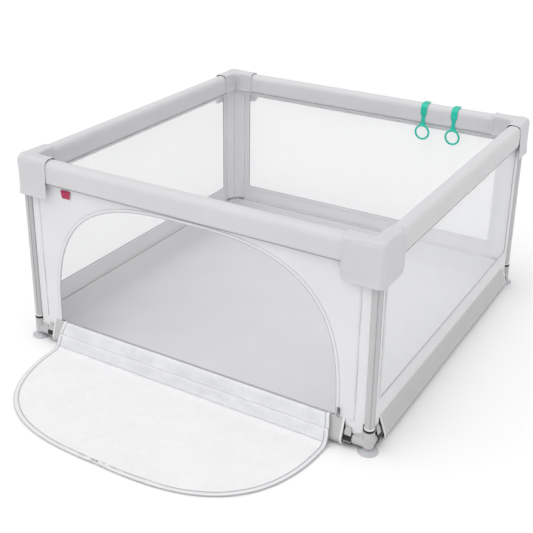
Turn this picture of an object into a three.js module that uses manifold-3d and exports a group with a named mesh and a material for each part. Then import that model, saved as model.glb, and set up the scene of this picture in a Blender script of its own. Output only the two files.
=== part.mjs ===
// Square fabric playpen with a steel tube frame, a zipped arch door that lies open on
// the floor in front of it, suction feet and two pull rings on the back rail.
// Millimetres, +Z up. The origin is on the floor at the middle of the square, and the
// doorway faces -Y.
import * as THREE from "three";
import { mergeVertices, toCreasedNormals } from "three/addons/utils/BufferGeometryUtils.js";
import Module from "manifold-3d";

// ---------------------------------------------------------------- driving dimensions
const POST = 600;                 // post axis, from the middle of the square, in X and in Y
const TUBE_R = 12;                // steel tube, outside radius
const TUBE_WALL = 1.5;
const GAP = 0.4;                  // clearance between pieces that touch

const LOW_TUBE_Z = 28;            // axis of the bottom tubes
const TOP_TUBE_Z = 605;           // axis of the top tubes
const SOCKET_R = 15.5;            // outside radius of the connectors' sockets
const BORE_R = TUBE_R + GAP;
const ARM_REACH = 85;             // from the post axis to the mouth of an arm
const ARM_STOP = 42;              // where a tube's end stops inside an arm
const LOW_SOCKET_TOP = 68;        // mouth of the upright socket of a bottom connector
const TOP_SOCKET_MOUTH = 568;     // mouth of the upright socket of a top connector

const CUP_R = 30;                 // suction foot
const STEM_R = 7;

const SEAM_Z = 84;                // ridge where the wall, the bottom sleeve and the floor meet
const FLOOR_HALF = 548;           // half width of the floor where it lies on the ground
const FLOOR_RISE = 72;            // height of the floor's sloping edges
const FLOOR_FLARE = 29;           // how far those edges lean outwards
const FLOOR_THICK = 5;
const RAIL_LOW_Z = 567;           // lower edge of the padded rail
const RAIL_TOP_Z = 640;
const RAIL_HALF = 24;             // half the thickness of the padded rail
const RAIL_ROUND = 20;            // rounding of the rail's top edges
const COVER_SKIN = 2;

const BOOT_HALF = 29;             // corner cover: half thickness of an arm
const BOOT_ARM = 98;              // corner cover: reach of an arm from the post axis
const BOOT_LOW_Z = 529;
const BOOT_TOP_Z = 646;
const BOOT_LOW_ROUND = 44;
const BOOT_EDGE = 16;             // rounding of the upright outer edge

const WALL_IN = 2.5;              // the wall cloth stands this far outside the post axis
const WALL_OUT = 5.5;
const SLEEVE_R = 14;              // cloth sleeve round a post
const SLEEVE_TOP_Z = 540;
const WALL_HALF = 586.5;          // half length of the wall cloth
const WINDOW_LOW_Z = 147;
const WINDOW_TOP_Z = 553;
const MESH_THICK = 1.2;

const ARCH_HALF = 500;            // doorway: half width at the sill
const ARCH_TOP_Z = 548;
const ARCH_POWER = 3;             // the arch is a superellipse of this power

const HINGE_OUT = 12;             // door: hinge line at the sill, outside the post axis
const HINGE_Z = 86;
const FOLD_OUT = 48;              // door: fold line at the floor
const FOLD_Z = 4;
const DOOR_LENGTH = 478;          // hinge line to the far edge, along the cloth
const DOOR_HALF = 498;
const DOOR_THICK = 2.6;
const DOOR_OFFSET = 0.6;          // the cloth lies this far from the line of its hinges
const DOOR_SEAM = 0.5;            // half the gap between the two parts of the door

const ZIP_X = 508;                // zip slider, beside the right jamb of the doorway
const ZIP_Z = 104;
const SLIDER_THICK = 3.4;
const ZIP_PIVOT_OUT = 5.6;        // the pull tab's pivot, from the slider's back and middle
const ZIP_PIVOT_UP = 4.5;

const RING_MAJOR = 25.5;
const RING_MINOR = 3.8;
const RING_X = [243, 360];
const RING_Z = 535;
const BAND_THICK = 2.6;
const BAND_HALF = 12;
const BAND_BACK = -14;            // where the band ends on top of the rail
const BAND_LOW_Z = 602;           // lower end of a ring's band, where its neck turns

const SIDES = ["front", "right", "back", "left"];
const CORNERS = ["front_right", "back_right", "back_left", "front_left"];
const SLEEVE_HALF = [528, 545, 545, 545];     // half length of each wall's bottom sleeve
const WINDOW_HALF = [0, 548, 525, 525];       // half width of each wall's mesh window
const STRAP_AT = [542, 560, 560, 560];        // hook-and-loop straps, from the middle
const STRAP_HALF = 12;
const STRAP_R = SOCKET_R + 2.7;

// ---------------------------------------------------------------- finishes
const finish = (color, roughness, metalness = 0) =>
  new THREE.MeshStandardMaterial({ color, roughness, metalness });
const STEEL = finish(0xb9bcc0, 0.35, 0.9);
const GREY_PLASTIC = finish(0xa3a5a9, 0.5);
const CUP_RUBBER = finish(0xc9c7cf, 0.35);
const FOAM = finish(0xf1efe8, 0.9);
const RAIL_CLOTH = finish(0xd3d4d6, 0.8);
const WALL_CLOTH = finish(0xdedfe1, 0.85);
const NET = finish(0xf2f4f7, 0.9);
const FLOOR_CLOTH = finish(0xdcdddf, 0.85);
const DOOR_CLOTH = finish(0xe9ebf0, 0.9);
const BLACK_STRAP = finish(0x1d1d20, 0.9);
const ZIP_METAL = finish(0x8d9096, 0.4, 0.6);
const TEAL = finish(0x17b39b, 0.3);

// ---------------------------------------------------------------- solids
const wasm = await Module();
wasm.setup();

// A closed three.js geometry as a solid that can be joined and cut.
function solid(geometry) {
  const bare = geometry.clone();
  bare.deleteAttribute("normal");
  bare.deleteAttribute("uv");
  const merged = mergeVertices(bare, 1e-4);
  return new wasm.Manifold(new wasm.Mesh({
    numProp: 3,
    vertProperties: new Float32Array(merged.attributes.position.array),
    triVerts: new Uint32Array(merged.index.array),
  }));
}

// The solid's surface as a three.js geometry.
function surface(body) {
  const mesh = body.getMesh();
  const geometry = new THREE.BufferGeometry();
  geometry.setAttribute("position", new THREE.BufferAttribute(mesh.vertProperties, 3));
  geometry.setIndex(new THREE.BufferAttribute(mesh.triVerts, 1));
  return toCreasedNormals(geometry, Math.PI / 5);
}

const join = (first, ...others) => others.reduce((sum, next) => sum.add(next), first);

// A plain cylinder along X, Y or Z, from one coordinate to another on its axis.
function rod(axis, radius, from, to, segments = 12) {
  const geometry = new THREE.CylinderGeometry(radius, radius, Math.abs(to - from), segments);
  geometry.translate(0, (from + to) / 2, 0);
  if (axis === "x") geometry.rotateZ(-Math.PI / 2);
  if (axis === "z") geometry.rotateX(Math.PI / 2);
  return geometry;
}

// A hollow cylinder, turned from a profile that closes on itself.
function pipe(axis, outer, inner, from, to, segments = 12) {
  const profile = [[inner, from], [outer, from], [outer, to], [inner, to], [inner, from]];
  const geometry = new THREE.LatheGeometry(profile.map(([r, h]) => new THREE.Vector2(r, h)), segments);
  if (axis === "x") geometry.rotateZ(-Math.PI / 2);
  if (axis === "z") geometry.rotateX(Math.PI / 2);
  return geometry;
}

function block(width, depth, height, x, y, z) {
  return new THREE.BoxGeometry(width, depth, height).translate(x, y, z);
}

// An outline drawn in (across, height), pushed along X between two places.
function alongX(shape, from, to, curveSegments = 4) {
  const geometry = new THREE.ExtrudeGeometry(shape, { depth: to - from, bevelEnabled: false, curveSegments });
  geometry.rotateX(Math.PI / 2);
  geometry.rotateZ(Math.PI / 2);
  return geometry.translate(from, 0, 0);
}

// An outline drawn in (along, height), pushed along Y between two places.
function alongY(shape, from, to, curveSegments = 5) {
  const geometry = new THREE.ExtrudeGeometry(shape, { depth: to - from, bevelEnabled: false, curveSegments });
  geometry.rotateX(Math.PI / 2);
  return geometry.translate(0, to, 0);
}

const polygon = (points) => new THREE.Shape(points.map(([a, b]) => new THREE.Vector2(a, b)));

// A rectangle whose four corners have their own radii: low left, low right, top right, top left.
function roundedBox(left, low, right, top, radii) {
  const [ll, lr, tr, tl] = radii;
  const shape = new THREE.Shape();
  shape.moveTo(left + ll, low);
  shape.lineTo(right - lr, low);
  if (lr) shape.absarc(right - lr, low + lr, lr, -Math.PI / 2, 0);
  shape.lineTo(right, top - tr);
  if (tr) shape.absarc(right - tr, top - tr, tr, 0, Math.PI / 2);
  shape.lineTo(left + tl, top);
  if (tl) shape.absarc(left + tl, top - tl, tl, Math.PI / 2, Math.PI);
  shape.lineTo(left, low + ll);
  if (ll) shape.absarc(left + ll, low + ll, ll, Math.PI, Math.PI * 1.5);
  return shape;
}

// Half width of the arch, or of the door, at a fraction of its height.
const archWidth = (half, fraction) => half * Math.pow(1 - Math.pow(fraction, ARCH_POWER), 1 / ARCH_POWER);

// Points up one side of the arch, over its top and down the other side.
function archPoints(half, low, high, steps = 24) {
  const points = [];
  for (let i = 0; i <= steps; i += 1) {
    const turn = (Math.PI * i) / steps;
    const x = Math.sign(Math.cos(turn)) * Math.pow(Math.abs(Math.cos(turn)), 2 / ARCH_POWER);
    const z = Math.pow(Math.sin(turn), 2 / ARCH_POWER);
    points.push([half * x, low + (high - low) * z]);
  }
  return points;
}

// ---------------------------------------------------------------- the assembly
const UP = new THREE.Vector3(0, 0, 1);
const playpen = new THREE.Group();

function add(parent, name, geometry, material) {
  const mesh = new THREE.Mesh(geometry, material);
  mesh.name = name;
  parent.add(mesh);
  return mesh;
}

// A corner's own frame: the post axis is its Z axis, and its arms run to -X and +Y.
function cornerFrame(index) {
  const frame = new THREE.Group();
  frame.rotation.z = (index * Math.PI) / 2;
  frame.position.set(POST, -POST, 0).applyAxisAngle(UP, frame.rotation.z);
  playpen.add(frame);
  return frame;
}

// A side's own frame: X runs along the wall, -Y points out of the playpen.
function sideFrame(index) {
  const frame = new THREE.Group();
  frame.rotation.z = (index * Math.PI) / 2;
  frame.position.set(0, -POST, 0).applyAxisAngle(UP, frame.rotation.z);
  playpen.add(frame);
  return frame;
}

// ---------------------------------------------------------------- frame pieces
// A three-way connector: an upright socket and two arms at the tube height.
function connector(armZ, mouthZ, hubZ, stopZ) {
  const armX = rod("x", SOCKET_R, -ARM_REACH, 0).translate(0, 0, armZ);
  const armY = rod("y", SOCKET_R, 0, ARM_REACH).translate(0, 0, armZ);
  const boreX = rod("x", BORE_R, -ARM_REACH - 1, -ARM_STOP).translate(0, 0, armZ);
  const boreY = rod("y", BORE_R, ARM_STOP, ARM_REACH + 1).translate(0, 0, armZ);
  const past = mouthZ > stopZ ? mouthZ + 1 : mouthZ - 1;
  const upright = rod("z", SOCKET_R + 0.5, Math.min(hubZ, mouthZ), Math.max(hubZ, mouthZ));
  const bore = rod("z", BORE_R, Math.min(stopZ, past), Math.max(stopZ, past));
  return join(solid(upright), solid(armX), solid(armY))
    .subtract(join(solid(bore), solid(boreX), solid(boreY)));
}

function bottomConnector() {
  const stemHole = rod("z", STEM_R + GAP, 10, 21);
  const webX = block(14, 6, 16, -20, 0, 50);
  const webY = block(6, 14, 16, 0, 20, 50);
  return surface(connector(LOW_TUBE_Z, LOW_SOCKET_TOP, 12, 32)
    .add(solid(webX))
    .add(solid(webY))
    .subtract(solid(stemHole)));
}

function topConnector() {
  return surface(connector(TOP_TUBE_Z, TOP_SOCKET_MOUTH, TOP_TUBE_Z + SOCKET_R, 590));
}

function suctionFoot() {
  const profile = [
    [0, 5], [14, 3.6], [24, 0.8], [26, 0], [CUP_R, 0], [CUP_R - 0.6, 2], [22, 5],
    [13, 8.4], [STEM_R, 11], [STEM_R, 20.5], [0, 20.5],
  ];
  const cup = new THREE.LatheGeometry(profile.map(([r, z]) => new THREE.Vector2(r, z)), 20);
  return cup.rotateX(Math.PI / 2);
}

// The hollow boot of cloth over a corner, open below and at the end of each arm.
function bootHalf(half, low, top, reach, lowRound, topRound) {
  const side = roundedBox(-reach, low, half, top, [lowRound, 0, 0, 0]);
  const section = roundedBox(-half, low - 1, half, top, [0, 0, topRound, topRound]);
  const nose = roundedBox(-reach - 1, low - 1, half, top, [0, 0, topRound, 0]);
  return solid(alongY(side, -half, half))
    .intersect(solid(alongX(section, -reach - 1, half + 1)))
    .intersect(solid(alongY(nose, -half - 1, half + 1)));
}

function cornerCover() {
  const mirror = (body) => body.rotate([0, 0, 90]).mirror([1, 0, 0]).rotate([0, 0, 180]);
  const armX = bootHalf(BOOT_HALF, BOOT_LOW_Z, BOOT_TOP_Z, BOOT_ARM, BOOT_LOW_ROUND, RAIL_ROUND + 2);
  const plan = roundedBox(-BOOT_ARM - 2, -BOOT_HALF, BOOT_HALF, BOOT_ARM + 2, [0, BOOT_EDGE, 0, 0]);
  const column = new THREE.ExtrudeGeometry(plan, { depth: 200, bevelEnabled: false, curveSegments: 5 });
  column.translate(0, 0, BOOT_LOW_Z - 20);
  const room = RAIL_HALF + GAP + 0.2;
  const inner = bootHalf(room, BOOT_LOW_Z - 10, RAIL_TOP_Z + GAP + 0.4, BOOT_ARM + 10, 0, RAIL_ROUND + 0.4);
  return surface(join(armX, mirror(armX)).intersect(solid(column)).subtract(join(inner, mirror(inner))));
}

// ---------------------------------------------------------------- rail pieces
const railSection = (grow) => roundedBox(
  -RAIL_HALF - grow, RAIL_LOW_Z - grow, RAIL_HALF + grow, RAIL_TOP_Z + grow,
  [6 + grow, 6 + grow, RAIL_ROUND + grow, RAIL_ROUND + grow],
);

function railCover() {
  const end = POST - 42;
  const shape = railSection(0);
  shape.holes.push(railSection(-COVER_SKIN));
  return alongX(shape, -end, end);
}

function railFoam() {
  const end = POST - ARM_REACH - 6;
  const shape = railSection(-COVER_SKIN - GAP);
  const hole = new THREE.Path();
  hole.absarc(0, TOP_TUBE_Z, TUBE_R + 1, 0, Math.PI * 2, true);
  shape.holes.push(hole);
  return alongX(shape, -end, end);
}

// ---------------------------------------------------------------- cloth walls
// The sleeve round the bottom tube, which hangs from the wall's seam and leans out a little.
function bottomSleeve(half) {
  const outline = polygon([[-6.5, SEAM_Z], [-26, 25], [-18.5, 8], [15, 8], [21, 14], [21, 42], [-1.5, SEAM_Z]]);
  const room = [[-4, SEAM_Z - 7.5], [18.4, 41.5], [18.4, 15.5], [13, 10.5], [-17, 10.5], [-23.2, 25]];
  outline.holes.push(polygon(room));
  return solid(alongX(outline, -half, half));
}

// One wall: its cloth frame, its bottom sleeve and the sleeve of the post at its +X end.
function wall(index) {
  const low = SEAM_Z - 8;
  const high = RAIL_LOW_Z - GAP;
  const start = 1 - WALL_HALF;
  const end = 1 + WALL_HALF;
  const sheet = polygon([[start, low], [end, low], [end, high], [start, high]]);
  const plate = solid(alongY(sheet, -WALL_OUT, -WALL_IN));
  const postSleeve = solid(pipe("z", SLEEVE_R, BORE_R, SEAM_Z, SLEEVE_TOP_Z).translate(POST, 0, 0));
  const opening = index === 0
    ? polygon(archPoints(ARCH_HALF, SEAM_Z, ARCH_TOP_Z))
    : roundedBox(-WINDOW_HALF[index], WINDOW_LOW_Z, WINDOW_HALF[index], WINDOW_TOP_Z, [5, 5, 5, 5]);
  const cut = solid(alongY(opening, -WALL_OUT - 2, -WALL_IN + 2, 2));
  return surface(join(plate.subtract(cut), bottomSleeve(SLEEVE_HALF[index]), postSleeve));
}

function meshWindow(index) {
  const half = WINDOW_HALF[index] - GAP;
  const pane = roundedBox(-half, WINDOW_LOW_Z + GAP, half, WINDOW_TOP_Z - GAP, [5, 5, 5, 5]);
  const middle = (WALL_IN + WALL_OUT) / 2;
  return alongY(pane, -middle - MESH_THICK / 2, -middle + MESH_THICK / 2, 2);
}

// The floor: a flat mat whose edges slope up to the seam with the walls.
function floorMat() {
  const tray = (low, high, from, to) => {
    const root2 = Math.SQRT2;
    const geometry = new THREE.CylinderGeometry(high * root2, low * root2, to - from, 4);
    return solid(geometry.rotateY(Math.PI / 4).rotateX(Math.PI / 2).translate(0, 0, (from + to) / 2));
  };
  const skin = FLOOR_THICK - 2;
  return surface(tray(FLOOR_HALF, FLOOR_HALF + FLOOR_FLARE, 0, FLOOR_RISE)
    .subtract(tray(FLOOR_HALF - skin, FLOOR_HALF + FLOOR_FLARE - skin, FLOOR_THICK, FLOOR_RISE + 1)));
}

// ---------------------------------------------------------------- door
// Part of the door between two distances from its hinge, drawn in (across, distance).
function doorOutline(from, to, steps = 20) {
  const width = (distance) => archWidth(DOOR_HALF, Math.min(distance / DOOR_LENGTH, 1));
  const side = [];
  for (let i = 0; i <= steps; i += 1) {
    const ease = Math.sin((Math.PI / 2) * (i / steps));
    const distance = from + (to - from) * ease;
    side.push([width(distance), distance]);
  }
  const back = side.filter(([half]) => half > 0.5).reverse().map(([half, distance]) => [-half, distance]);
  return polygon([...side, ...back]);
}

// ---------------------------------------------------------------- small pieces
// A hook-and-loop strap round an arm, with its webbing tab standing up.
function armStrap(at) {
  const band = pipe("x", STRAP_R, SOCKET_R + GAP, at - STRAP_HALF, at + STRAP_HALF)
    .translate(0, 0, LOW_TUBE_Z);
  const tab = block(14, 2.4, 22, at, -8, LOW_TUBE_Z + SOCKET_R + 11);
  return surface(solid(band).add(solid(tab)));
}

// The band over the top of the rail, which ends on its inner face.
function pullStrap() {
  const near = RAIL_ROUND + GAP;
  const far = near + BAND_THICK;
  const bendY = RAIL_HALF - RAIL_ROUND;
  const bendZ = RAIL_TOP_Z - RAIL_ROUND;
  const strip = new THREE.Shape();
  strip.moveTo(BAND_BACK, bendZ + near);
  strip.lineTo(bendY, bendZ + near);
  strip.absarc(bendY, bendZ, near, Math.PI / 2, 0, true);
  strip.lineTo(bendY + near, BAND_LOW_Z);
  strip.lineTo(bendY + far, BAND_LOW_Z);
  strip.lineTo(bendY + far, bendZ);
  strip.absarc(bendY, bendZ, far, 0, Math.PI / 2);
  strip.lineTo(BAND_BACK, bendZ + far);
  return alongX(strip, -BAND_HALF, BAND_HALF);
}

// The ring and the neck that it hangs by, turning at the lower end of the band.
function pullRing() {
  const face = RAIL_HALF + GAP;
  const ring = new THREE.TorusGeometry(RING_MAJOR, RING_MINOR, 8, 28).rotateX(Math.PI / 2);
  ring.translate(0, face + RING_MINOR, RING_Z);
  const neck = new THREE.Shape();
  neck.moveTo(-8, BAND_LOW_Z - 0.6);
  neck.lineTo(-7, 588);
  neck.quadraticCurveTo(-7, 572, -13, RING_Z + RING_MAJOR - 5);
  neck.lineTo(13, RING_Z + RING_MAJOR - 5);
  neck.quadraticCurveTo(7, 572, 7, 588);
  neck.lineTo(8, BAND_LOW_Z - 0.6);
  const hole = rod("y", RING_MAJOR, face - 3, face + 12, 28).translate(0, 0, RING_Z);
  const plate = solid(alongY(neck, face, face + BAND_THICK, 4)).subtract(solid(hole));
  return surface(plate.add(solid(ring)));
}

// ---------------------------------------------------------------- corners
CORNERS.forEach((corner, index) => {
  const frame = cornerFrame(index);
  add(frame, `bottom_connector_${corner}`, bottomConnector(), GREY_PLASTIC);
  add(frame, `suction_foot_${corner}`, suctionFoot(), CUP_RUBBER);
  add(frame, `post_tube_${corner}`, pipe("z", TUBE_R, TUBE_R - TUBE_WALL, 32.4, 589.6), STEEL);
  add(frame, `top_connector_${corner}`, topConnector(), GREY_PLASTIC);
  add(frame, `corner_cover_${corner}`, cornerCover(), RAIL_CLOTH);
});

// ---------------------------------------------------------------- sides
SIDES.forEach((side, index) => {
  const frame = sideFrame(index);
  const tubeEnd = POST - ARM_STOP - GAP;
  const tube = () => pipe("x", TUBE_R, TUBE_R - TUBE_WALL, -tubeEnd, tubeEnd);
  add(frame, `bottom_rail_tube_${side}`, tube(), STEEL).position.z = LOW_TUBE_Z;
  add(frame, `top_rail_tube_${side}`, tube(), STEEL).position.z = TOP_TUBE_Z;
  add(frame, `rail_foam_${side}`, railFoam(), FOAM);
  add(frame, `rail_cover_${side}`, railCover(), RAIL_CLOTH);
  add(frame, `wall_${side}`, wall(index), WALL_CLOTH);
  if (index > 0) add(frame, `mesh_window_${side}`, meshWindow(index), NET);
  add(frame, `arm_strap_${side}_a`, armStrap(-STRAP_AT[index]), BLACK_STRAP);
  add(frame, `arm_strap_${side}_b`, armStrap(STRAP_AT[index]), BLACK_STRAP);
});

add(playpen, "floor_mat", floorMat(), FLOOR_CLOTH);

// ---------------------------------------------------------------- the open door
const hingeFrame = new THREE.Group();
hingeFrame.position.set(0, -POST - HINGE_OUT, HINGE_Z);
hingeFrame.rotation.x = -Math.atan2(FOLD_OUT - HINGE_OUT, HINGE_Z - FOLD_Z);
playpen.add(hingeFrame);
const apronLength = Math.hypot(FOLD_OUT - HINGE_OUT, HINGE_Z - FOLD_Z);
const apronSheet = new THREE.ExtrudeGeometry(doorOutline(DOOR_SEAM, apronLength - DOOR_SEAM, 2), {
  depth: DOOR_THICK, bevelEnabled: false,
});
apronSheet.rotateX(-Math.PI / 2).translate(0, DOOR_OFFSET, 0);
add(hingeFrame, "door_apron", apronSheet, DOOR_CLOTH);

const panelSheet = new THREE.ExtrudeGeometry(doorOutline(apronLength + DOOR_SEAM, DOOR_LENGTH), {
  depth: DOOR_THICK, bevelEnabled: false,
});
panelSheet.rotateX(Math.PI).translate(0, apronLength, 0);
const panel = add(playpen, "door_panel", panelSheet, DOOR_CLOTH);
panel.position.set(0, -POST - FOLD_OUT, FOLD_Z - DOOR_OFFSET);

// ---------------------------------------------------------------- the door's zip
// The slider carries a bridge, and the pull tab's end bar lies under it.
const sliderBack = -POST - WALL_OUT - GAP;
const bridge = polygon([[3.2, -3.7], [8.6, -3.7], [8.6, 3.7], [3.2, 3.7]]);
bridge.holes.push(polygon([[3.3, -2.5], [7.4, -2.5], [7.4, 2.5], [3.3, 2.5]]));
const bridgeSolid = solid(alongX(bridge, -1.2, 1.2)).mirror([0, 1, 0]).translate([0, 0, ZIP_PIVOT_UP]);
const sliderBody = solid(block(9, SLIDER_THICK, 18, 0, -SLIDER_THICK / 2, 1)).add(bridgeSolid);
add(playpen, "zip_slider", surface(sliderBody), ZIP_METAL).position.set(ZIP_X, sliderBack, ZIP_Z);

const pullFrame = polygon([[-3, 0.8], [3, 0.8], [4.4, -21], [-4.4, -21]]);
pullFrame.holes.push(polygon([[-1.8, -0.8], [-1.8, -6.4], [1.8, -6.4], [1.8, -0.8]]));
add(playpen, "zip_pull", alongY(pullFrame, -0.7, 0.7), ZIP_METAL)
  .position.set(ZIP_X, sliderBack - ZIP_PIVOT_OUT, ZIP_Z + ZIP_PIVOT_UP);

// ---------------------------------------------------------------- pull rings
RING_X.forEach((x, index) => {
  const holder = new THREE.Group();
  holder.position.set(x, POST, 0);
  holder.rotation.z = Math.PI;
  playpen.add(holder);
  add(holder, `pull_strap_${index + 1}`, pullStrap(), TEAL);
  add(holder, `pull_ring_${index + 1}`, pullRing(), TEAL);
});

export default playpen;
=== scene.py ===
"""The looks of a square fabric playpen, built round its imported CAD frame.

Sizes are in millimetres and reach Blender through MM. A corner has a frame of its own at
its post axis, with its arms along -X and +Y. A side has a frame of its own at the middle
of its wall, with X along the wall and -Y outwards. Both are turned by quarter turns.
"""

import logging
import math
from collections.abc import Iterable, Sequence
from dataclasses import dataclass, field
from enum import Enum

import bmesh
import bpy
import numpy as np
from mathutils import Matrix, Vector, noise


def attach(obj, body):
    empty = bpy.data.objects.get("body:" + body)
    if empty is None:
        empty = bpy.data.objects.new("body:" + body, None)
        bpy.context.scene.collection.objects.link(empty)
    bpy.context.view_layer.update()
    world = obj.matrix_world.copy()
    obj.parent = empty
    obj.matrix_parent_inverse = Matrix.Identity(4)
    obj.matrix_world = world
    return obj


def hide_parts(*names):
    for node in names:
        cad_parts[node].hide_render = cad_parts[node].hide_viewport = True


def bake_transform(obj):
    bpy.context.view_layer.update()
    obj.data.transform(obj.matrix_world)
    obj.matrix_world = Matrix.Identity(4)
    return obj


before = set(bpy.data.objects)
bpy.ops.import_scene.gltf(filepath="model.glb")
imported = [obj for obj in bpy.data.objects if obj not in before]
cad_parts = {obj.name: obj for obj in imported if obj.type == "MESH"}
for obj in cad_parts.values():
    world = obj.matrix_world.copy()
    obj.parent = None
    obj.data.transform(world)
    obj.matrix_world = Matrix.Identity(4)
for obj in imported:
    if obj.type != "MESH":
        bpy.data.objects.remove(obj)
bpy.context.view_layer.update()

LOG = logging.getLogger("playpen")
Object = bpy.types.Object
Material = bpy.types.Material

MM = 0.001
QUARTER = math.pi / 2
POST = 600.0          # post axis, from the middle of the square
SEAM_Z = 84.0         # seam of wall, bottom sleeve and floor
RAIL_LOW = 567.0
RAIL_TOP = 640.0
RAIL_HALF = 24.0
ARM_Z = 28.0          # axis of the bottom tubes and of the connectors' arms
STITCH = 4.5          # from stitch to stitch
WALL_Y = -4.0         # middle of the wall cloth, in a side's frame
WINDOW_LOW = 147.0
WINDOW_TOP = 553.0
ARCH_HALF = 500.0
ARCH_TOP = 548.0
ARCH_POWER = 3.0
ARCH_STEPS = 720      # steps along the arch; a quarter of them stand at each foot


class Spot(Enum):
    """Something that comes back round the square, in quarter turns."""

    @property
    def label(self) -> str:
        """Its name inside piece names."""
        return self.name.lower()

    @property
    def place(self) -> Matrix:
        """Its own frame, in millimetres."""
        return Matrix.Rotation(self.value * QUARTER, 4, "Z") @ Matrix.Translation(self.start)


class Side(Spot):
    """The four sides, in quarter turns from the doorway."""

    FRONT = 0
    RIGHT = 1
    BACK = 2
    LEFT = 3

    @property
    def start(self) -> tuple[float, float, float]:
        """The middle of the front wall."""
        return 0, -POST, 0


class Corner(Spot):
    """The four corners, in quarter turns from the one right of the doorway."""

    FRONT_RIGHT = 0
    BACK_RIGHT = 1
    BACK_LEFT = 2
    FRONT_LEFT = 3

    @property
    def start(self) -> tuple[float, float, float]:
        """The post right of the doorway."""
        return POST, -POST, 0


# ------------------------------------------------------------------ shader building
def linear(code: str) -> tuple[float, float, float, float]:
    """Turns a hex colour into the linear values that shaders use.

    Args:
        code: six hex digits.

    Returns:
        Red, green, blue and an alpha of 1.
    """
    parts = [int(code[i:i + 2], 16) / 255 for i in (0, 2, 4)]
    red, green, blue = (p / 12.92 if p <= 0.04045 else ((p + 0.055) / 1.055) ** 2.4 for p in parts)
    return red, green, blue, 1.0


def shaded(colour: Sequence[float], share: float) -> tuple[float, ...]:
    """The colour with a share of its light."""
    return tuple(c * share for c in colour[:3]) + (1.0,)


class Sock:
    """A value socket whose operators add Math nodes to its material."""

    def __init__(self, shader: "Shader", socket: bpy.types.NodeSocket) -> None:
        """Keeps the socket and the material it belongs to.

        Args:
            shader: the material being built.
            socket: an output socket of one of its nodes.
        """
        self.shader = shader
        self.socket = socket

    def maths(self, operation: str, *values: "Sock | float") -> "Sock":
        """Adds one Math node.

        Args:
            operation: the node's operation.
            values: its inputs, in order.

        Returns:
            The node's result.
        """
        return self.shader.result("ShaderNodeMath", {"operation": operation}, dict(enumerate(values)))

    def __add__(self, other: "Sock | float") -> "Sock":
        """Sum."""
        return self.maths("ADD", self, other)

    def __sub__(self, other: "Sock | float") -> "Sock":
        """Difference."""
        return self.maths("SUBTRACT", self, other)

    def __rsub__(self, other: float) -> "Sock":
        """Difference from a number."""
        return self.maths("SUBTRACT", other, self)

    def __mul__(self, other: "Sock | float") -> "Sock":
        """Product."""
        return self.maths("MULTIPLY", self, other)

    __radd__ = __add__
    __rmul__ = __mul__

    def sine(self) -> "Sock":
        """Sine of the value, in radians."""
        return self.maths("SINE", self)

    def size(self) -> "Sock":
        """Value without its sign."""
        return self.maths("ABSOLUTE", self)

    def clipped(self, low: float = 0.0, high: float = 1.0) -> "Sock":
        """Value held between two limits."""
        return self.maths("MINIMUM", self.maths("MAXIMUM", self, low), high)


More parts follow.
